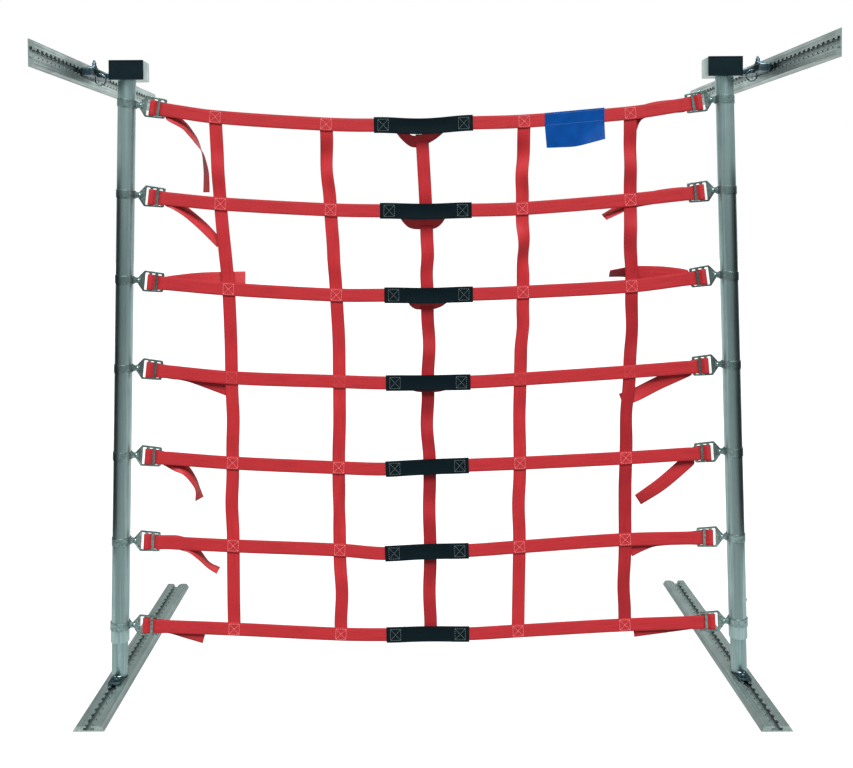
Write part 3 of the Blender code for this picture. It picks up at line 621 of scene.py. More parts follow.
for name in SIDES:
    low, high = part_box(f"end_cap_{name}")
    face_back = NET_Y - HEAD_DEPTH / 2 - GAP
    bm = slab(low, (high.x, face_back, high.z), CAP_EDGE)
    front = [f for f in bm.faces if f.normal.y < -0.99]
    bmesh.ops.inset_region(bm, faces=front, thickness=CAP_RIM, depth=0)
    bmesh.ops.inset_region(bm, faces=front, thickness=CAP_SINK, depth=-CAP_SINK)
    inset = HEAD_WALL + GAP
    corner = (high.x - inset, high.y, high.z - inset)
    add_to(bm, slab((low.x + inset, face_back - PLUG_OVERLAP, low.z + inset), corner, PLUG_EDGE, 2))
    settle(f"box_cap_{name}", bm, cap_plastic, "cap_plastic", f"end_cap_{name}", sharp=30)


# Clamp bands
# A strip of steel is wrapped round the post. Its two ends lie on both sides of the buckle's head,
# stiffened by a pressed rib, and one rivet holds the buckle so that it can tip.
ROWS = range(1, 8)
BAND_THICKNESS = 1.3 * MM
BAND_SHEET = BAND_THICKNESS - 0.1 * MM
BAND_HALF = 9.5 * MM
BAND_OPENING = math.radians(17)
BAND_ARC = 60
BAND_HEEL = 1.5 * MM
BAND_BEND = 2 * MM
BAND_ROWS = 9
BAND_EDGE = 0.3 * MM
EAR_REACH = 40 * MM
EAR_OFFSET = 2.2 * MM
EAR_STEP = 6.5 * MM
EAR_TIP = 0.56
EAR_RIB = 0.7 * MM
EAR_DROPS = {(1, -1): 4.5, (2, -1): 3, (3, -1): 2.5, (3, 1): -2}  # the ear's droop, in mm
RIVET_AT = 34 * MM
RIVET_SIDES = 20
RIVET_DOME = [(0, 5.4), (1.8, 5.1), (3.3, 4.3), (4.2, 3.1), (4.2, 2.7), (1.9, 2.7)]

# Zinc-plated strip steel: grey-green, rubbed dark where it was bent and handled
clamp_zinc = metal("zinc_plated_strip_steel", "#8fa6a5", "#657b7a", 0.4, (6, 6, 6), 0.12)
# Rivet steel, a shade lighter than the band: partly left bright by the setting tool, partly a
# painted highlight on its dome
highlit_rivet_steel = metal("rivet_steel_painted_highlight", "#93a6a5", "#6f8382", 0.4, (4, 4, 4), 0.1)


def thicken(piece, thickness, edge):
    """Gives an open sheet its thickness, half to each side, and rounds its edges."""
    shell = piece.modifiers.new("thickness", "SOLIDIFY")
    shell.thickness = thickness
    shell.offset = 0
    shell.use_even_offset = True
    soft = piece.modifiers.new("edge", "BEVEL")
    soft.width = edge
    soft.segments = 2
    soft.limit_method = "ANGLE"
    soft.angle_limit = math.radians(60)


def band_path(radius):
    """The band's middle line in plan, from one ear's tip round the post to the other's."""
    whole = 2 * (math.pi - BAND_OPENING)
    turns = [BAND_OPENING + whole * i / BAND_ARC for i in range(BAND_ARC + 1)]
    arc = [Vector((radius * math.cos(a), radius * math.sin(a))) for a in turns]
    flat = [Vector((EAR_REACH - EAR_STEP * i, EAR_OFFSET)) for i in range(3)]
    heel = Vector((radius + BAND_HEEL, EAR_OFFSET))
    ear = rounded([*flat, heel, arc[0]], BAND_BEND, 3, closed=False)
    return [*ear, *arc[1:-1], *[Vector((p.x, -p.y)) for p in reversed(ear)]]


def facing(side):
    """Turns what looks inwards from the left post to look inwards from either one."""
    return Matrix.Rotation(math.pi if side > 0 else 0, 4, "Z")


def ear_drop(row, side):
    """How far an ear hangs at its rivet."""
    return EAR_DROPS.get((row, side), 0) * MM


rivets = bmesh.new()
rivet = [*RIVET_DOME, *[(radius, -up) for radius, up in reversed(RIVET_DOME)]]
for row in ROWS:
    radius = COLLAR_RADIUS if row == ROWS[-1] else POST_RADIUS
    radius += GAP + BAND_THICKNESS / 2
    path = band_path(radius)
    for name, side in SIDES.items():
        middle, drop = middle_of(f"clamp_{row}_{name}")[2], ear_drop(row, side)

        def band_point(column, line):
            place = path[column]
            share = 2 * line / (BAND_ROWS - 1) - 1
            out = max(0.0, (place.x - radius) / (EAR_REACH - radius))
            taper = 1 - (1 - EAR_TIP) * min(1, 2.5 * out)
            rib = math.cos(share * math.pi / 2) ** 4 * math.sin(math.pi * min(1, out * 1.4)) ** 2
            up = share * BAND_HALF * taper - drop * place.x / RIVET_AT
            return Vector((place.x, place.y + math.copysign(EAR_RIB * rib, place.y), up))

        place = Matrix.Translation((0, 0, middle)) @ facing(side)
        bm = moved(bent_grid(len(path), BAND_ROWS, band_point), place)
        leaned(bm, side)
        band = settle(f"band_{row}_{name}", bm, clamp_zinc, "clamp_steel", f"clamp_{row}_{name}")
        thicken(band, BAND_SHEET, BAND_EDGE)

        height = middle - drop
        at = Matrix.Translation((post_x(side, height) - side * RIVET_AT, NET_Y, height))
        add_to(rivets, spun(rivet, RIVET_SIDES, MM), at @ UPRIGHT)
settle("rivets", rivets, highlit_rivet_steel, "clamp_steel")


# Slide buckles
# Each buckle is stamped from steel sheet: a triangular head that hangs on the rivet, and a frame
# with three bars round which the strap is threaded. Stamping and tumbling rounded all its edges.
CROSS_DROPS = [
    # how far each cross strap has dropped below its clamp bands, in mm, where it is sewn to the
    # first two down straps, the left and right end of the grip, and the last two down straps
    (33, 52, 55, 51, 48, 30),
    (25, 41, 44, 44, 41, 22),
    (25, 41, 42, 41, 37, 24),
    (25, 36, 40, 39, 33, 17),
    (21, 34, 38, 30, 26, 15),
    (15, 27, 36, 30, 22, 6),
    (13, 27, 29, 28, 22, 9),
]
DOWN_PLACES = [
    # where each down strap crosses, left to right, in mm from the middle
    (-502, -238, -9, 234, 487),
    (-492, -229, 0, 229, 487),
    (-475, -217, 1, 230, 490),
    (-470, -211.5, 1, 222.5, 485),
    (-470, -215, 4, 221, 476),
    (-471, -214, 4, 219, 474),
    (-471, -213, 4, 215, 473),
]
BUCKLE_THICKNESS = 2.5 * MM
BUCKLE_CORNER = 5 * MM
BUCKLE_EDGE = 0.6 * MM
SLOT_CORNER = 2.4 * MM
# Places along the buckle from the post's axis, and sizes across it, in mm
BAR_FROM = (57.5, 72.5, 87.5)
BAR_WIDTH = 6.5
FIRST_SLOT = 48.5
FRAME_FROM, FRAME_TO = 46, 94
FRAME_HALF, FRAME_TAPER = 25.5, 2
FRAME_SIDE = 4.7
NECK_FROM, NECK_TO, NECK_HALF = 26, 31, 6.5

# Stamped steel, zinc plated: grey-green, rubbed brighter in patches by handling
buckle_steel = metal("stamped_zinc_steel", "#92a6a2", "#5b6c69", 0.36, (5, 5, 5), 0.15)


def band_height(row):
    """The height of a row's clamp bands."""
    return middle_of(f"clamp_{row}_left")[2]


def buckle_frame(row, side):
    """The matrix of a buckle: X runs from the post's axis towards the net, and Y stays level."""
    hung, outer = ear_drop(row, side), 0 if side < 0 else -1
    drop = CROSS_DROPS[row - 1][outer] * MM
    crossing = DOWN_PLACES[row - 1][outer] * MM
    axis = post_x(side, band_height(row))
    tilt = math.atan2(drop - hung, abs(crossing - axis) - RIVET_AT)
    pivot = Matrix.Translation((RIVET_AT, 0, 0))
    tipped = pivot @ Matrix.Rotation(tilt, 4, "Y") @ pivot.inverted()
    return Matrix.Translation((axis, NET_Y, band_height(row) - hung)) @ facing(side) @ tipped


def frame_half(x):
    """Half the frame's height at x, in mm. It narrows a little towards the last bar."""
    return FRAME_HALF - FRAME_TAPER * (x - FRAME_FROM) / (FRAME_TO - FRAME_FROM)


neck = [(NECK_FROM, NECK_HALF), (NECK_TO, NECK_HALF)]
upper = [*neck, *[(x, frame_half(x)) for x in (FRAME_FROM, FRAME_TO)]]
outline = [Vector(p) * MM for p in [*upper, *[(x, -z) for x, z in reversed(upper)]]]
cuts = []
for start, end in zip((FIRST_SLOT, BAR_FROM[0] + BAR_WIDTH, BAR_FROM[1] + BAR_WIDTH), BAR_FROM):
    before, after = frame_half(start) - FRAME_SIDE, frame_half(end) - FRAME_SIDE
    corners = ((start, -before), (start, before), (end, after), (end, -after))
    cuts.append(rounded([Vector(p) * MM for p in corners], SLOT_CORNER))

for row in ROWS:
    for name, side in SIDES.items():
        bm = plate([rounded(outline, BUCKLE_CORNER, 6), *cuts], BUCKLE_THICKNESS, BUCKLE_EDGE)
        moved(bm, buckle_frame(row, side) @ UPRIGHT)
        settle(f"slider_{row}_{name}", bm, buckle_steel, "buckle_steel", f"buckle_{row}_{name}")


# Cross straps
# Seven lengths of 32 mm polyester webbing run from buckle to buckle, and their free ends hang out
# behind. Each strap is slack behind its grip, so that a hand can reach round the grip.
CROSS_WIDTH = 32 * MM
WEB_THICKNESS = 1.8 * MM
WEB_EDGE = 0.35 * MM
WEB_ROWS = 7
SLACK_TIP, SLACK_TIP_SAG = 34, 20 * MM  # the slack tips this many degrees once it sags so far
STRAP_PLAY = 0.45 * MM
STRAP_LOW = 1.5 * MM
STRAP_STEP = 5 * MM
SLOT_PLAY = 0.8 * MM
BUCKLE_LAYER = (BUCKLE_THICKNESS + WEB_THICKNESS) / 2 + STRAP_PLAY
BAR_SPREAD = 0.15
EASE_REACH = 18 * MM
TAIL_BACK = 5 * MM
TAIL_PAST = 3 * MM
SLOPE_REACH = 2 * MM  # how far to each side a strap's slope is taken
TAIL_STEP = 24 * MM
GRIPS = [
    # the grip's left and right end; where the slack behind it hangs lowest, its reach to the left
    # and the right, how square its loop is, its sag, its bulge back, and the grip's own dip. All
    # but the squareness are in mm
    (-124, 112, -28, 42, 70, 1.8, 35, 15, 5.5),
    (-111, 108, -8, 53, 52, 4.5, 29, 14, 2.5),
    (-102, 110, -12, 33, 60, 4, 22, 13, 2),
    (-100, 103, 3, 48, 48, 3, 9, 9, 0.8),
    (-102, 98, 3, 48, 48, 2, 6, 8, -0.8),
    (-105, 97, 0, 50, 50, 2, 4, 8, -1.5),
    (-103, 97, 0, 50, 50, 2, 3, 8, -1.5),
]
TAILS = {
    # free ends past the buckles: (across, height, back, twist), in mm and degrees
    (1, -1): [
        (-606, 1360, 8, -40), (-578, 1339, 13, -64), (-551, 1303, 16, -80),
        (-537, 1275, 17, -103), (-528, 1229, 16, -121), (-528, 1180, 16, -127),
    ],
    (2, -1): [
        (-606, 1155, 8, -36), (-575, 1132, 13, -54), (-537, 1098, 17, -54),
        (-496, 1054, 18, -62),
    ],
    (3, -1): [(-604, 966, 6, 0), (-540, 972, 9, -4), (-436, 974, 13, -15)],
    (4, -1): [(-610, 747, 6, 0), (-572, 740, 8, 0), (-476, 704, 9, 0)],
    (5, -1): [
        (-616, 529, 8, 0), (-586, 510, 12, -60), (-566, 482, 15, -78),
        (-558, 462, 16, -84), (-554, 438, 16, -65),
    ],
    (6, -1): [
        (-606, 335, 8, -10), (-574, 322, 10, -52), (-552, 298, 13, -79),
        (-534, 277, 15, -87), (-510, 263, 15, -80),
    ],
    (7, -1): [(-622, 128, 6, 0), (-590, 118, 6, 0), (-544, 104, 6, 0)],
    (1, 1): [
        (612, 1379, 6, 0), (560, 1375, 8, 5), (524, 1367, 14, 22),
        (503, 1352, 17, 36), (491, 1322, 18, 44),
    ],
    (2, 1): [(612, 1169, 6, 0), (559, 1163, 8, 6), (493, 1147, 16, 44), (427, 1114, 18, 66)],
    (3, 1): [
        (618, 972, 6, 0), (569, 979, 8, -2), (506, 981, 13, -8),
        (475, 981, 18, -42), (440, 978, 19, -58),
    ],
    (4, 1): [(624, 745, 6, 0), (557, 714, 10, 4), (502, 685, 15, 14), (468, 672, 17, 24)],
    (5, 1): [(628, 526, 8, 6), (566, 470, 12, 0), (507, 430, 12, -18)],
    (6, 1): [
        (630, 338, 6, 0), (572, 336, 7, 0), (540, 332, 7, 0),
        (511, 321, 7, 0), (485, 308, 7, 0),
    ],
    (7, 1): [(640, 132, 6, 0), (580, 124, 6, 0), (495, 113, 6, 0)],
}


def web(name, body, gap, edge, half, shine=0.22, yarn=1.5, pick=2.6, faded=0.0):
    """Woven webbing. body, gap and edge are the colours of its yarns, of the painted shade in the
    hollows between them and of its selvedges, darkened with painted shade where the web rounds
    off, and half is half its width. yarn is the width of a warp yarn and pick the length of two
    wefts, in mm. The last argument is how much paler its first 0.3 m is painted, easing back to
    its own colour by 0.55 m."""
    sheen = {"Sheen Weight": 0.05, "Sheen Roughness": 0.4}
    made, tree, shader = finish(name, {"Roughness": 0.52, "Specular IOR Level": shine, **sheen})
    flat = node(tree, "UVMap", {}, uv_map="weave")
    split = node(tree, "SeparateXYZ", {0: flat})
    run, off = split.outputs[0], split.outputs[1]
    # Each yarn is an arch across the web that rises and sinks along it, half a beat off the next
    yarns = node(tree, "Math", {0: off, 1: 1 / (yarn * MM)}, operation="MULTIPLY")
    number = node(tree, "Math", {0: yarns}, operation="FLOOR")
    shift = node(tree, "Math", {0: number, 1: math.pi}, operation="MULTIPLY")
    beat = 2 * math.pi / (pick * MM)
    along = node(tree, "Math", {0: run, 1: beat, 2: shift}, operation="MULTIPLY_ADD")
    wave = node(tree, "Math", {0: along}, operation="SINE")
    rise = node(tree, "Math", {0: wave, 1: 0.3, 2: 0.7}, operation="MULTIPLY_ADD")
    part = node(tree, "Math", {0: yarns}, operation="FRACT")
    turn = node(tree, "Math", {0: part, 1: math.pi}, operation="MULTIPLY")
    arch = node(tree, "Math", {0: turn}, operation="SINE")
    height = node(tree, "Math", {0: arch, 1: rise}, operation="MULTIPLY")
    # Painted shade: the colour darkens to the hollow colour where the arches sink between yarns
    bright = node(tree, "MapRange", {0: height, 1: 0.1, 2: 0.75, 3: 0.0, 4: 1.0})
    base = node(tree, "Mix", {0: bright, 6: linear(gap), 7: linear(body)}, data_type="RGBA")
    # Dye takes a little unevenly from yarn to yarn and along the web
    pulled = node(tree, "Mapping", {"Vector": flat, "Scale": (1 / (70 * MM), 1 / (2 * MM), 1)})
    dye = node(tree, "TexNoise", {"Vector": pulled, "Scale": 1.0, "Detail": 2.0})
    uneven = node(tree, "MapRange", {0: dye, 1: 0.3, 2: 0.7, 3: 0.86, 4: 1.12})
    # Painted paler over the first 0.3 m by the last argument, easing back to its own colour by 0.55
    # m
    pale = node(tree, "MapRange", {0: run, 1: 0.3, 2: 0.55, 3: 1 + faded, 4: 1.0})
    tone = node(tree, "Math", {0: uneven, 1: pale}, operation="MULTIPLY")
    tinted = {"data_type": "RGBA", "blend_type": "MULTIPLY"}
    dyed = node(tree, "Mix", {0: 1.0, 6: base, 7: tone}, **tinted)
    # Painted shade: the colour darkens over the selvedges, where the web rounds off at each edge
    far = node(tree, "Math", {0: off}, operation="ABSOLUTE")
    rim = node(tree, "MapRange", {0: far, 1: half - 2.4 * MM, 2: half - 0.8 * MM, 3: 0.0, 4: 0.75})
    colour = node(tree, "Mix", {0: rim, 6: dyed, 7: linear(edge)}, data_type="RGBA")
    relief = node(tree, "Bump", {"Height": height, "Strength": 0.45, "Distance": 0.35 * MM})
    fill(tree, shader, {"Base Color": colour, "Normal": relief})
    return made


# Polyester webbing, dyed red: round warp yarns side by side, a soft sheen, woven selvedges.
# Painted shade darkens the hollows between the yarns and the rounded edges.
cross_webbing = web("red_polyester_webbing", "#c23237", "#8e1d23", "#9a242b", CROSS_WIDTH / 2)


def webbing(name, replaced, stations, width, thickness, rows, material, slot, cup=None):
    """A strap on stations of (centre, vector across, whose length widens it), with its weave laid
    out flat. cup(share) gives how far its middle stands out of its edges and how much narrower
    it is, from 0 to 1 along it."""
    along = [0.0]
    for (before, _), (here, _) in zip(stations, stations[1:]):
        along.append(along[-1] + (here - before).length)
    last = len(stations) - 1

    def strap_place(column, line):
        centre, across = stations[column]
        share = line / (rows - 1) - 0.5
        if not cup:
            return centre + across * width * share
        way = stations[min(column + 1, last)][0] - stations[max(column - 1, 0)][0]
        rise, narrow = cup(along[column] / along[-1])
        out = way.cross(across).normalized() * rise * (1 - (2 * share) ** 2)
        return centre + across * width * share * (1 - narrow) + out

    def weave(column, line):
        return along[column], width * (line / (rows - 1) - 0.5)

    bm = bent_grid(len(stations), rows, strap_place, weave)
    piece = settle(name, bm, material, slot, replaced, sharp=60)
    thicken(piece, thickness, WEB_EDGE)
    return piece, along[-1]


def curve_through(points, step):
    """Points on a smooth curve through waypoints, which may carry more numbers than x, y and z."""
    points = [Vector(p) for p in points]
    ends = [2 * points[0] - points[1], *points, 2 * points[-1] - points[-2]]
    made = []
    for a, b, c, d in zip(ends, ends[1:], ends[2:], ends[3:]):
        count = max(1, round((Vector(c[:3]) - Vector(b[:3])).length / step))
        for i in range(count):
            t = i / count
            bend = (2 * a - 5 * b + 4 * c - d) * t * t + (3 * b - a - 3 * c + d) * t**3
            made.append(b + ((c - a) * t + bend) / 2)
    return [*made, points[-1]]


def stations_on(points):
    """(centre, direction across) for points of x, y, z and twist, the strap standing on edge."""
    made = []
    across = Vector((0, 0, 1))
    for i, point in enumerate(points):
        before, after = points[max(i - 1, 0)], points[min(i + 1, len(points) - 1)]
        way = (after.to_3d() - before.to_3d()).normalized()
        level = Vector((-way.z, 0, way.x)).normalized()
        if level.dot(across) < 0:
            level.negate()
        across = level
        made.append((point.to_3d(), Matrix.Rotation(math.radians(point[3]), 3, way) @ level))
    return made


def refined(stations, step):
    """Stations closer together, on a smooth line through the given ones."""
    points = curve_through([(*centre, *across) for centre, across in stations], step)
    return [(Vector(point[:3]), Vector(point[3:]).normalized()) for point in points]


def read_off(table, x):
    """Reads a smooth curve through a table of (x, value) at x."""
    at = max(0, min(len(table) - 2, sum(line[0] <= x for line in table) - 1))
    a, b, c, d = (table[max(0, min(len(table) - 1, i))] for i in range(at - 1, at + 3))
    t = (x - b[0]) / (c[0] - b[0])
    slope_b = (c[1] - a[1]) / (c[0] - a[0]) * (c[0] - b[0])
    slope_c = (d[1] - b[1]) / (d[0] - b[0]) * (c[0] - b[0])
    value = b[1] * (2 * t**3 - 3 * t**2 + 1) + c[1] * (3 * t**2 - 2 * t**3)
    return value + slope_b * (t**3 - 2 * t**2 + t) + slope_c * (t**3 - t**2)


def ramp(x, low, high):
    """Rises smoothly from 0 at low to 1 at high."""
    t = max(0.0, min(1.0, (x - low) / (high - low)))
    return t * t * (3 - 2 * t)


def knots(row):
    """Where a cross strap is sewn to down straps and grip, as a table of (x, height) in metres."""
    down, (left, right, *_) = DOWN_PLACES[row - 1], GRIPS[row - 1]
    places = (down[0], down[1], left, right, down[3], down[4])
    return [(x * MM, band_height(row) - drop * MM) for x, drop in zip(places, CROSS_DROPS[row - 1])]


def dip(row, x):
    """How far a grip, and the strap behind it, hang below the line between the grip's ends."""
    left, right, *_, deep = (value * MM for value in GRIPS[row - 1])
    share = max(0.0, min(1.0, (x - left) / (right - left)))
    return deep * math.sin(math.pi * share) ** 2


def slack(row, x):
    """(share, bulge, sag) of the slack behind a grip, the share being 1 where it hangs lowest."""
    _, _, lowest, before, after, square, sag, bulge, _ = GRIPS[row - 1]
    off = abs(x / MM - lowest) / (before if x / MM < lowest else after)
    return max(0.0, 1 - off**square), bulge * MM, sag * MM


def strap_point(row, x, heights):
    """A cross strap's centre at x, from its table of heights and its slack."""
    share, bulge, sag = slack(row, x)
    return Vector((x, NET_Y + bulge * share, read_off(heights, x) - dip(row, x) - sag * share))


def slack_twist(row, x):
    """How far the slack tips its lower edge back, in degrees. Its upper edge stays off the grip."""
    share, bulge, sag = slack(row, x)
    most = math.degrees(math.asin(0.9 * bulge * share / (CROSS_WIDTH / 2)))
    return min(SLACK_TIP * min(1, sag / SLACK_TIP_SAG), most)


def net_station(row, x, heights):
    """A cross strap's station at x. Its slack slides down behind the grip and doesn't turn."""
    before, after = x - SLOPE_REACH, x + SLOPE_REACH
    here, there = (read_off(heights, at) - dip(row, at) for at in (before, after))
    way = Vector((2 * SLOPE_REACH, 0, there - here)).normalized()
    turn = Matrix.Rotation(math.radians(slack_twist(row, x)), 3, way)
    return strap_point(row, x, heights), turn @ Vector((-way.z, 0, way.x))


def threading(row, side):
    """Stations of a strap in its buckle, from the net to the start of its free end."""
    front, behind = -BUCKLE_LAYER, BUCKLE_LAYER
    near, middle, far = (bar * MM for bar in BAR_FROM)
    wide = BAR_WIDTH * MM
    corners = [
        (far + wide + SLOT_PLAY, front),
        (far - SLOT_PLAY, front),
        (middle + wide + SLOT_PLAY, behind),
        (middle - SLOT_PLAY, behind),
        (near + wide + SLOT_PLAY, front),
        (near - behind, front),
        (near - behind, behind),
        (near + wide, behind),
        (middle - TAIL_PAST, TAIL_BACK),
        (far + wide, TAIL_BACK),
    ]
    place = buckle_frame(row, side)
    across = place.to_3x3() @ Vector((0, 0, 1))
    made = []
    for x, y in rounded(corners, behind, 6, closed=False):
        spread = 1 + BAR_SPREAD * (1 - ramp(x, middle, far))
        # The right-hand buckle is turned round, and the strap's depth is still towards the back
        made.append((place @ Vector((x, -side * y, -STRAP_LOW)), across * spread))
    return made


def tail(row, side, last):
    """Stations of a free end, after the last one in the strap's buckle."""
    way = [Vector((*last[0], 0))]
    for across, height, back, twist in TAILS[row, side]:
        way.append(Vector((across * MM, NET_Y + back * MM, height * MM, twist)))
    coarse = [last, *stations_on(curve_through(way, TAIL_STEP))[1:]]
    return refined(coarse, STRAP_STEP)[1:]


CROSS_WEB = (CROSS_WIDTH, WEB_THICKNESS, WEB_ROWS, cross_webbing)
cross_straps = []
for row in ROWS:
    left_web, right_web = threading(row, -1), threading(row, 1)
    start, end = left_web[0][0], right_web[0][0]
    heights = [(start.x, start.z), *knots(row), (end.x, end.z)]
    count = round((end.x - start.x) / STRAP_STEP)
    across_net, ahead = [], Vector((0, -BUCKLE_LAYER, 0))
    for i in range(1, count):
        x = start.x + (end.x - start.x) * i / count
        centre, across = net_station(row, x, heights)
        near_end = 1 - ramp(min(centre.x - start.x, end.x - centre.x), 0, EASE_REACH)
        across_net.append((centre + ahead * near_end, across))
    left_tail = tail(row, -1, left_web[-1])
    right_tail = tail(row, 1, right_web[-1])
    stations = [*left_tail[::-1], *left_web[::-1], *across_net, *right_web, *right_tail]
    made = webbing(f"web_across_{row}", f"cross_strap_{row}", stations, *CROSS_WEB, "red_webbing")
    cross_straps.append(made)


# Down straps
# Five lengths of 31 mm webbing lie behind the cross straps and are sewn to each of them. They
# are cut a little long, so between two crossings each of them bows out of the net's plane.
DOWN_WIDTH = 31 * MM
DOWN_LAYER = 2.1 * MM
FLAT_REACH = CROSS_WIDTH / 2 + 4 * MM
END_INSET = 2 * MM
BOW_FROM, BOW_TO = 0.36, 0.64  # the part of a gap in which a strap bows by its whole amount
SWING_PEAK = 1.54
BOWS = [
    # how far each down strap bows back between two cross straps, in mm
    (-2, 3.5, -3, 2, -1),
    (-2, -3, -1, -3.5, -4),
    (1, 2, 1, -1, 3.5),
    (-2, -2.5, 5, 2.5, -1.5),
    (1, 2, 1, -1, 3),
    (-1.5, -3.5, 2, 1.5, -2.5),
]
HANG = [
    # how each down strap hangs in its gaps, from top to bottom, in mm and degrees: its sway to the
    # right at mid-gap, its swing right above and left below that, its tip back above and forward
    # below, and its twist
    [
        (0, 0, 2, 6), (0, 0, 0, 4), (0, 0, -0.5, 0),
        (2.5, 0, 0.5, 5), (-3, 0, -0.5, 10), (0, 0, 0.5, 0),
    ],
    [
        (-4.3, 0, 4, -16), (0, 0.5, 1, 10), (1, 0, 0, 0),
        (1, 0, 0, 8), (0, 0, 0, 28), (4, 0, -1, 0),
    ],
    [
        (0, 0, 1, 0), (0, 1.5, -1.5, 8), (4, 0, 3, 8),
        (-4.5, 0, 3.5, -10), (-2, 0, 3.5, 6), (-2.5, 0, 2, 6),
    ],
    [
        (-1, 1.8, 5, -22), (1.5, 1.5, -3.5, 30), (1, 1.5, 1, -22),
        (-1, 0, 1, 10), (-3, 0, 0.5, -10), (0, 0, 0, 4),
    ],
    [
        (0, 0, 4, 8), (-2.6, 0, -2, -12), (3.5, 0, 0, 10),
        (-3.8, 0, 1, 12), (0, 0, 0.5, -8), (-3.5, 0, -1, 8),
    ],
]

# Polyester webbing, dyed red, with painted shade in its hollows and along its edges. The third
# and fifth straps take a darker copy of it as painted shade, which is painted paler again over
# the top 0.3 m of each.
plain_down_webbing = web("down_polyester_webbing", "#c43035", "#8d1c22", "#9a242a", DOWN_WIDTH / 2)
shades = ("#ae262d", "#7a161c", "#871b23")
shaded_down_webbing = web("deep_red_webbing_painted_shade", *shades, DOWN_WIDTH / 2, faded=0.2)

for column, roll in enumerate((plain_down_webbing, plain_down_webbing, shaded_down_webbing, plain_down_webbing, shaded_down_webbing)):
    crossings = []
    for row in ROWS:
        here = strap_point(row, DOWN_PLACES[row - 1][column] * MM, knots(row))
        crossings.append(here + Vector((0, DOWN_LAYER, 0)))
    sideways = sorted((point.z, point.x) for point in crossings)
    top = crossings[0].z + CROSS_WIDTH / 2 - END_INSET
    bottom = crossings[-1].z - CROSS_WIDTH / 2 + END_INSET
    count = round((top - bottom) / STRAP_STEP)
    stations = []
    for i in range(count + 1):
        z = top + (bottom - top) * i / count
        gap = max(0, min(len(BOWS) - 1, sum(point.z > z for point in crossings) - 1))
        upper, lower = crossings[gap], crossings[gap + 1]
        share = (upper.z - z) / (upper.z - lower.z)
        flat = FLAT_REACH / (upper.z - lower.z)
        level = ramp(share, flat, BOW_FROM) * (1 - ramp(share, BOW_TO, 1 - flat))
        drift = ramp(share, flat, 1 - flat)
        y = upper.y + (lower.y - upper.y) * drift + BOWS[gap][column] * MM * level
        sway, swing, tip, twist = HANG[column][gap]
        free = math.pi * max(0.0, min(1.0, (share - flat) / (1 - 2 * flat)))
        once = math.sin(free) ** 2
        twice = SWING_PEAK * once * math.sin(2 * free)
        x = read_off(sideways, z) + (sway * once + swing * twice) * MM
        turn = Matrix.Rotation(math.radians(twist * once), 3, "Z")
        stations.append((Vector((x, y + tip * MM * twice, z)), turn @ Vector((1, 0, 0))))
    names = (f"web_down_{column + 1}", f"down_strap_{column + 1}")
    cloth = (DOWN_WIDTH, WEB_THICKNESS, WEB_ROWS, roll)
    piece, length = webbing(*names, stations, *cloth, "red_webbing")


# Hand grips
# A short length of heavy black webbing is sewn over the slack of each cross strap. A hand has
# curled its long edges forward a little between the two sewn ends.
GRIP_WIDTH = 38 * MM
GRIP_THICKNESS = 2 * MM
GRIP_ROWS = 9
GRIP_LAYER = -(WEB_THICKNESS + GRIP_THICKNESS) / 2 - GAP
GRIP_CUP = 1.6 * MM
GRIP_NARROW = 0.01
# Shares of its length, from either end, up to which a grip is flat and from which it is curled
GRIP_SEWN, GRIP_FREE = 0.14, 0.3

# Polyester webbing, dyed black: a coarser, stiffer weave with a faint blue-green cast.
# Painted shade darkens the hollows between its yarns and its rounded edges.
shades = ("#0b1c22", "#030b0e", "#061216")
grip_webbing = web("black_polyester_webbing", *shades, GRIP_WIDTH / 2, 0.05, 1.8, 3.2)
GRIP_WEB = (GRIP_WIDTH, GRIP_THICKNESS, GRIP_ROWS, grip_webbing)


def grip_cup(share):
    """How far the grip's middle stands out of its edges, back if below 0, and how much narrower
    it is there."""
    middle = ramp(share, GRIP_SEWN, GRIP_FREE) * ramp(1 - share, GRIP_SEWN, GRIP_FREE)
    return -GRIP_CUP * middle, GRIP_NARROW * middle


grips = []
for row in ROWS:
    (left, low_left), (right, low_right) = knots(row)[2:4]
    start = Vector((left, NET_Y + GRIP_LAYER, low_left, 0))
    end = Vector((right, NET_Y + GRIP_LAYER, low_right, 0))
    count = round((end - start).length / STRAP_STEP)
    points = [start.lerp(end, i / count) for i in range(count + 1)]
    for point in points:
        point.z -= dip(row, point.x)
    stations = stations_on(points)
    names = (f"hand_grip_{row}", f"grip_{row}")
    grips.append(webbing(*names, stations, *GRIP_WEB, "black_webbing", cup=grip_cup))


# Stitching
# A machine sews a box with a cross in it through both webs at each crossing, and through each end
# of a grip. The thread is bonded polyester, and each stitch stands a little out of the weave.
STITCH = 3.4 * MM
STITCH_PITCH = 4.2 * MM
THREAD_WIDE = 0.75 * MM
THREAD_HIGH = 0.45 * MM
CROSSING_BOX = (25 * MM, 25 * MM)
GRIP_BOX = (25 * MM, 27 * MM)
GRIP_BOX_IN = 22 * MM


def sloped(across, up):
    """Turns the X axis onto this slope in the XZ plane."""
    return Matrix.Rotation(-math.atan2(up, across), 4, "Y")


def sew(bm, corners, off):
    """Sews a line of stitches through corners of (across, up), this far back from the XZ plane."""
    for before, after in zip(corners, corners[1:]):
        before, after = Vector(before), Vector(after)
        run = after - before
        count = max(1, round(run.length / STITCH_PITCH))
        spin = sloped(run.x, run.y)
        size = Matrix.Diagonal((STITCH / 2, THREAD_HIGH, THREAD_WIDE, 1))
        for i in range(count):
            centre = before.lerp(after, (i + 0.5) / count)
            matrix = Matrix.Translation((centre.x, off, centre.y)) @ spin @ size
            bmesh.ops.create_uvsphere(bm, u_segments=6, v_segments=4, radius=1, matrix=matrix)


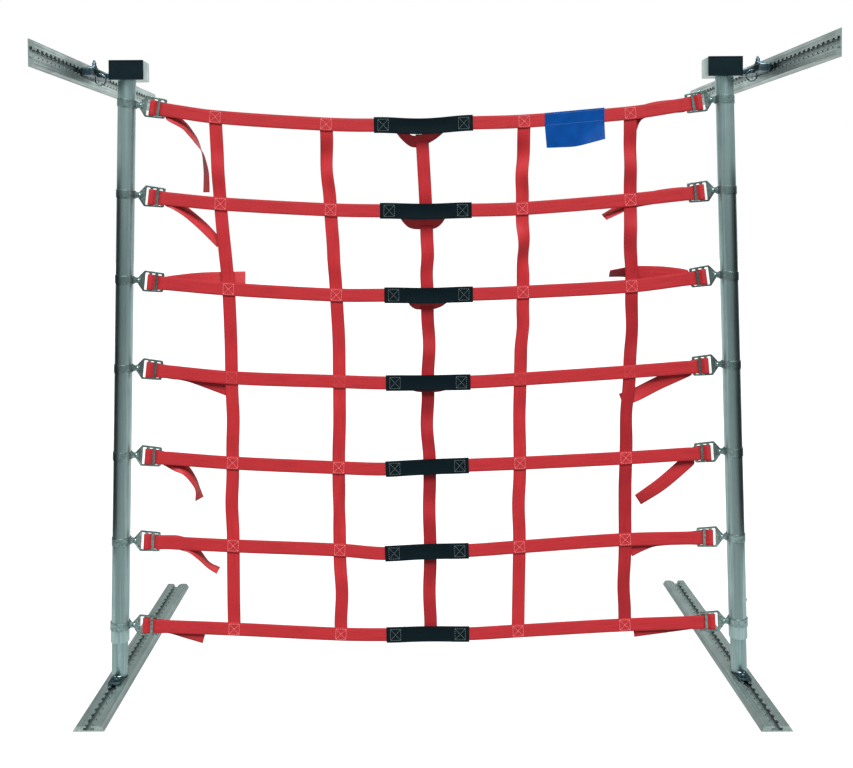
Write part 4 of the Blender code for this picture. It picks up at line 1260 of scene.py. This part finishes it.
def box_and_cross(wide, high, *offs):
    """A sewn box with both its diagonals, on each of the faces this far back from the XZ plane."""
    x, z = wide / 2, high / 2
    bm = bmesh.new()
    for off in offs:
        sew(bm, [(-x, -z), (-x, z), (x, z), (x, -z), (-x, -z), (x, z)], off)
        sew(bm, [(-x, z), (x, -z)], off)
    return bm


def web_frame(row, x):
    """The frame of a cross strap at x: X runs along it, Y back and Z up."""
    heights = knots(row)
    here = strap_point(row, x, heights)
    before, after = (strap_point(row, at, heights) for at in (x - SLOPE_REACH, x + SLOPE_REACH))
    way = after - before
    return Matrix.Translation(here) @ sloped(way.x, way.z)


def thread(name, dark, light):
    """Bonded thread, with the twist of its strands as a fine pattern."""
    soft = {"Roughness": 0.45, "Sheen Weight": 0.2}
    return grained(name, soft, dark, light, 0.7, 0.7, 1, 0.4)


# Red thread, faded lighter than the webbing or still fresh, and grey thread on the grips
red_thread = thread("faded_red_thread", "#d4666b", "#e98a8c")
deep_thread = thread("deep_red_thread", "#a83239", "#c6474c")
grey_thread = thread("grey_thread", "#3d4a4a", "#5b6a6a")

crossing_box = box_and_cross(*CROSSING_BOX, -WEB_THICKNESS / 2, DOWN_LAYER + WEB_THICKNESS / 2)
for row, (piece, length) in zip(ROWS, cross_straps):
    bm = bmesh.new()
    for column in (0, 1, 3, 4):
        add_to(bm, crossing_box.copy(), web_frame(row, DOWN_PLACES[row - 1][column] * MM))
    # The fourth strap was sewn with fresher thread, which hardly shows on the red
    yarn = deep_thread if row == 4 else red_thread
    seams = settle(f"crossing_stitches_{row}", bm, yarn, "red_webbing")
    flat = (CROSS_WIDTH, length)
crossing_box.free()

grip_box = box_and_cross(*GRIP_BOX, GRIP_LAYER - GRIP_THICKNESS / 2, WEB_THICKNESS / 2)
for row, (piece, length) in zip(ROWS, grips):
    bm = bmesh.new()
    (left, low_left), (right, low_right) = knots(row)[2:4]
    start, end = Vector((left, NET_Y, low_left)), Vector((right, NET_Y, low_right))
    way = (end - start).normalized()
    for centre in (start + way * GRIP_BOX_IN, end - way * GRIP_BOX_IN):
        centre.z -= dip(row, centre.x)
        add_to(bm, grip_box.copy(), Matrix.Translation(centre) @ sloped(way.x, way.z))
    seams = settle(f"grip_stitches_{row}", bm, grey_thread, "black_webbing")
    sewn_on, flat = [f"web_across_{row}"], (GRIP_WIDTH, length)
    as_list(sewn_on)
grip_box.free()


# Name plate
# A piece of PVC-coated cloth, blue and bare, folded over and sewn along the top strap. Below the
# strap it hangs free, and its lower right corner curls forward.
LABEL_THICKNESS = 1 * MM
LABEL_CLOTH, LABEL_EDGE = 0.8 * MM, 0.2 * MM
LABEL_ROWS = 33
LABEL_COLUMNS = 49
LABEL_SWAY = 4 * MM
LABEL_LEAN = 0.6 * MM
LABEL_RIPPLES = ((1.3, 21, 2.2), (0.6, 9, -3))  # height and length in mm, slant
LABEL_SEAMS = (4 * MM, 30 * MM)
LABEL_SEAM_IN = 3 * MM
LABEL_TABLE = [
    # across, top, bottom, curl, in mm
    (283, 1363, 1280, 0),
    (318, 1366, 1281, 1),
    (354, 1369, 1283, 2),
    (390, 1372, 1291, 5),
    (425, 1375, 1300, 9),
]

# PVC-coated polyester cloth: glossy film over a fine scrim whose threads just show through
gloss = {"Roughness": 0.4, "Specular IOR Level": 0.08}
coated_cloth, tree, shader = finish("blue_pvc_coated_cloth", gloss)
flat = node(tree, "UVMap", {}, uv_map="weave")
creases_and_highlights = node(tree, "TexNoise", {"Vector": flat, "Scale": 1 / (30 * MM), "Detail": 3.0})
# Painted light: the crease noise also colours the cloth, lighter and darker, painting highlights
# and shade along the creases
shades = {0: creases_and_highlights, 6: linear("#023371"), 7: linear("#094e9c")}
colour = node(tree, "Mix", shades, data_type="RGBA")
scrim = node(tree, "TexChecker", {"Vector": flat, "Scale": 1 / (1.2 * MM)}).outputs[1]
tall = node(tree, "Math", {0: scrim, 1: 0.12, 2: creases_and_highlights}, operation="MULTIPLY_ADD")
relief = node(tree, "Bump", {"Height": tall, "Strength": 0.5, "Distance": 0.9 * MM})
fill(tree, shader, {"Base Color": colour, "Normal": relief})

front = NET_Y - (WEB_THICKNESS + LABEL_THICKNESS) / 2 - GAP
tops, bottoms, curls = ([(row[0] * MM, row[i] * MM) for row in LABEL_TABLE] for i in (1, 2, 3))
label_left, label_right = tops[0][0], tops[-1][0]
label_wide, label_high = label_right - label_left, tops[0][1] - bottoms[0][1]


def label_place(column, row):
    """Where the plate's cloth hangs. It is free below the strap."""
    x = label_left + label_wide * column / (LABEL_COLUMNS - 1)
    top, bottom, curl = (read_off(table, x) for table in (tops, bottoms, curls))
    z = top + (bottom - top) * row / (LABEL_ROWS - 1)
    free = max(0.0, (top - CROSS_WIDTH - z) / (top - CROSS_WIDTH - bottom))
    out = curl * (free + 2 * free**2) / 3 + LABEL_LEAN * free
    for high, long, slant in LABEL_RIPPLES:
        out += high * MM * free * math.sin((x - label_left) / (long * MM) + slant * free)
    x += LABEL_SWAY * free * (label_right - x) / label_wide
    return Vector((x, front - out, z))


def label_weave(column, row):
    """The place on the plate's cloth laid flat."""
    return label_wide * column / (LABEL_COLUMNS - 1), label_high * row / (LABEL_ROWS - 1)


bm = bent_grid(LABEL_COLUMNS, LABEL_ROWS, label_place, label_weave)
label = settle("name_plate", bm, coated_cloth, "blue_cloth", "label", sharp=60)
thicken(label, LABEL_CLOTH, LABEL_EDGE)
blue_thread = thread("blue_thread", "#2c55a0", "#3f6bb0")
bm = bmesh.new()
for down in LABEL_SEAMS:
    run = label_wide - 2 * LABEL_SEAM_IN
    places = [label_left + LABEL_SEAM_IN + run * i / 8 for i in range(9)]
    sew(bm, [(x, read_off(tops, x) - down) for x in places], front - LABEL_THICKNESS / 2)
seams = settle("label_stitches", bm, blue_thread, "blue_cloth")
label_area = sum((t - b) for (_, t), (_, b) in zip(tops, bottoms)) / len(tops) * label_wide


low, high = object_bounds()
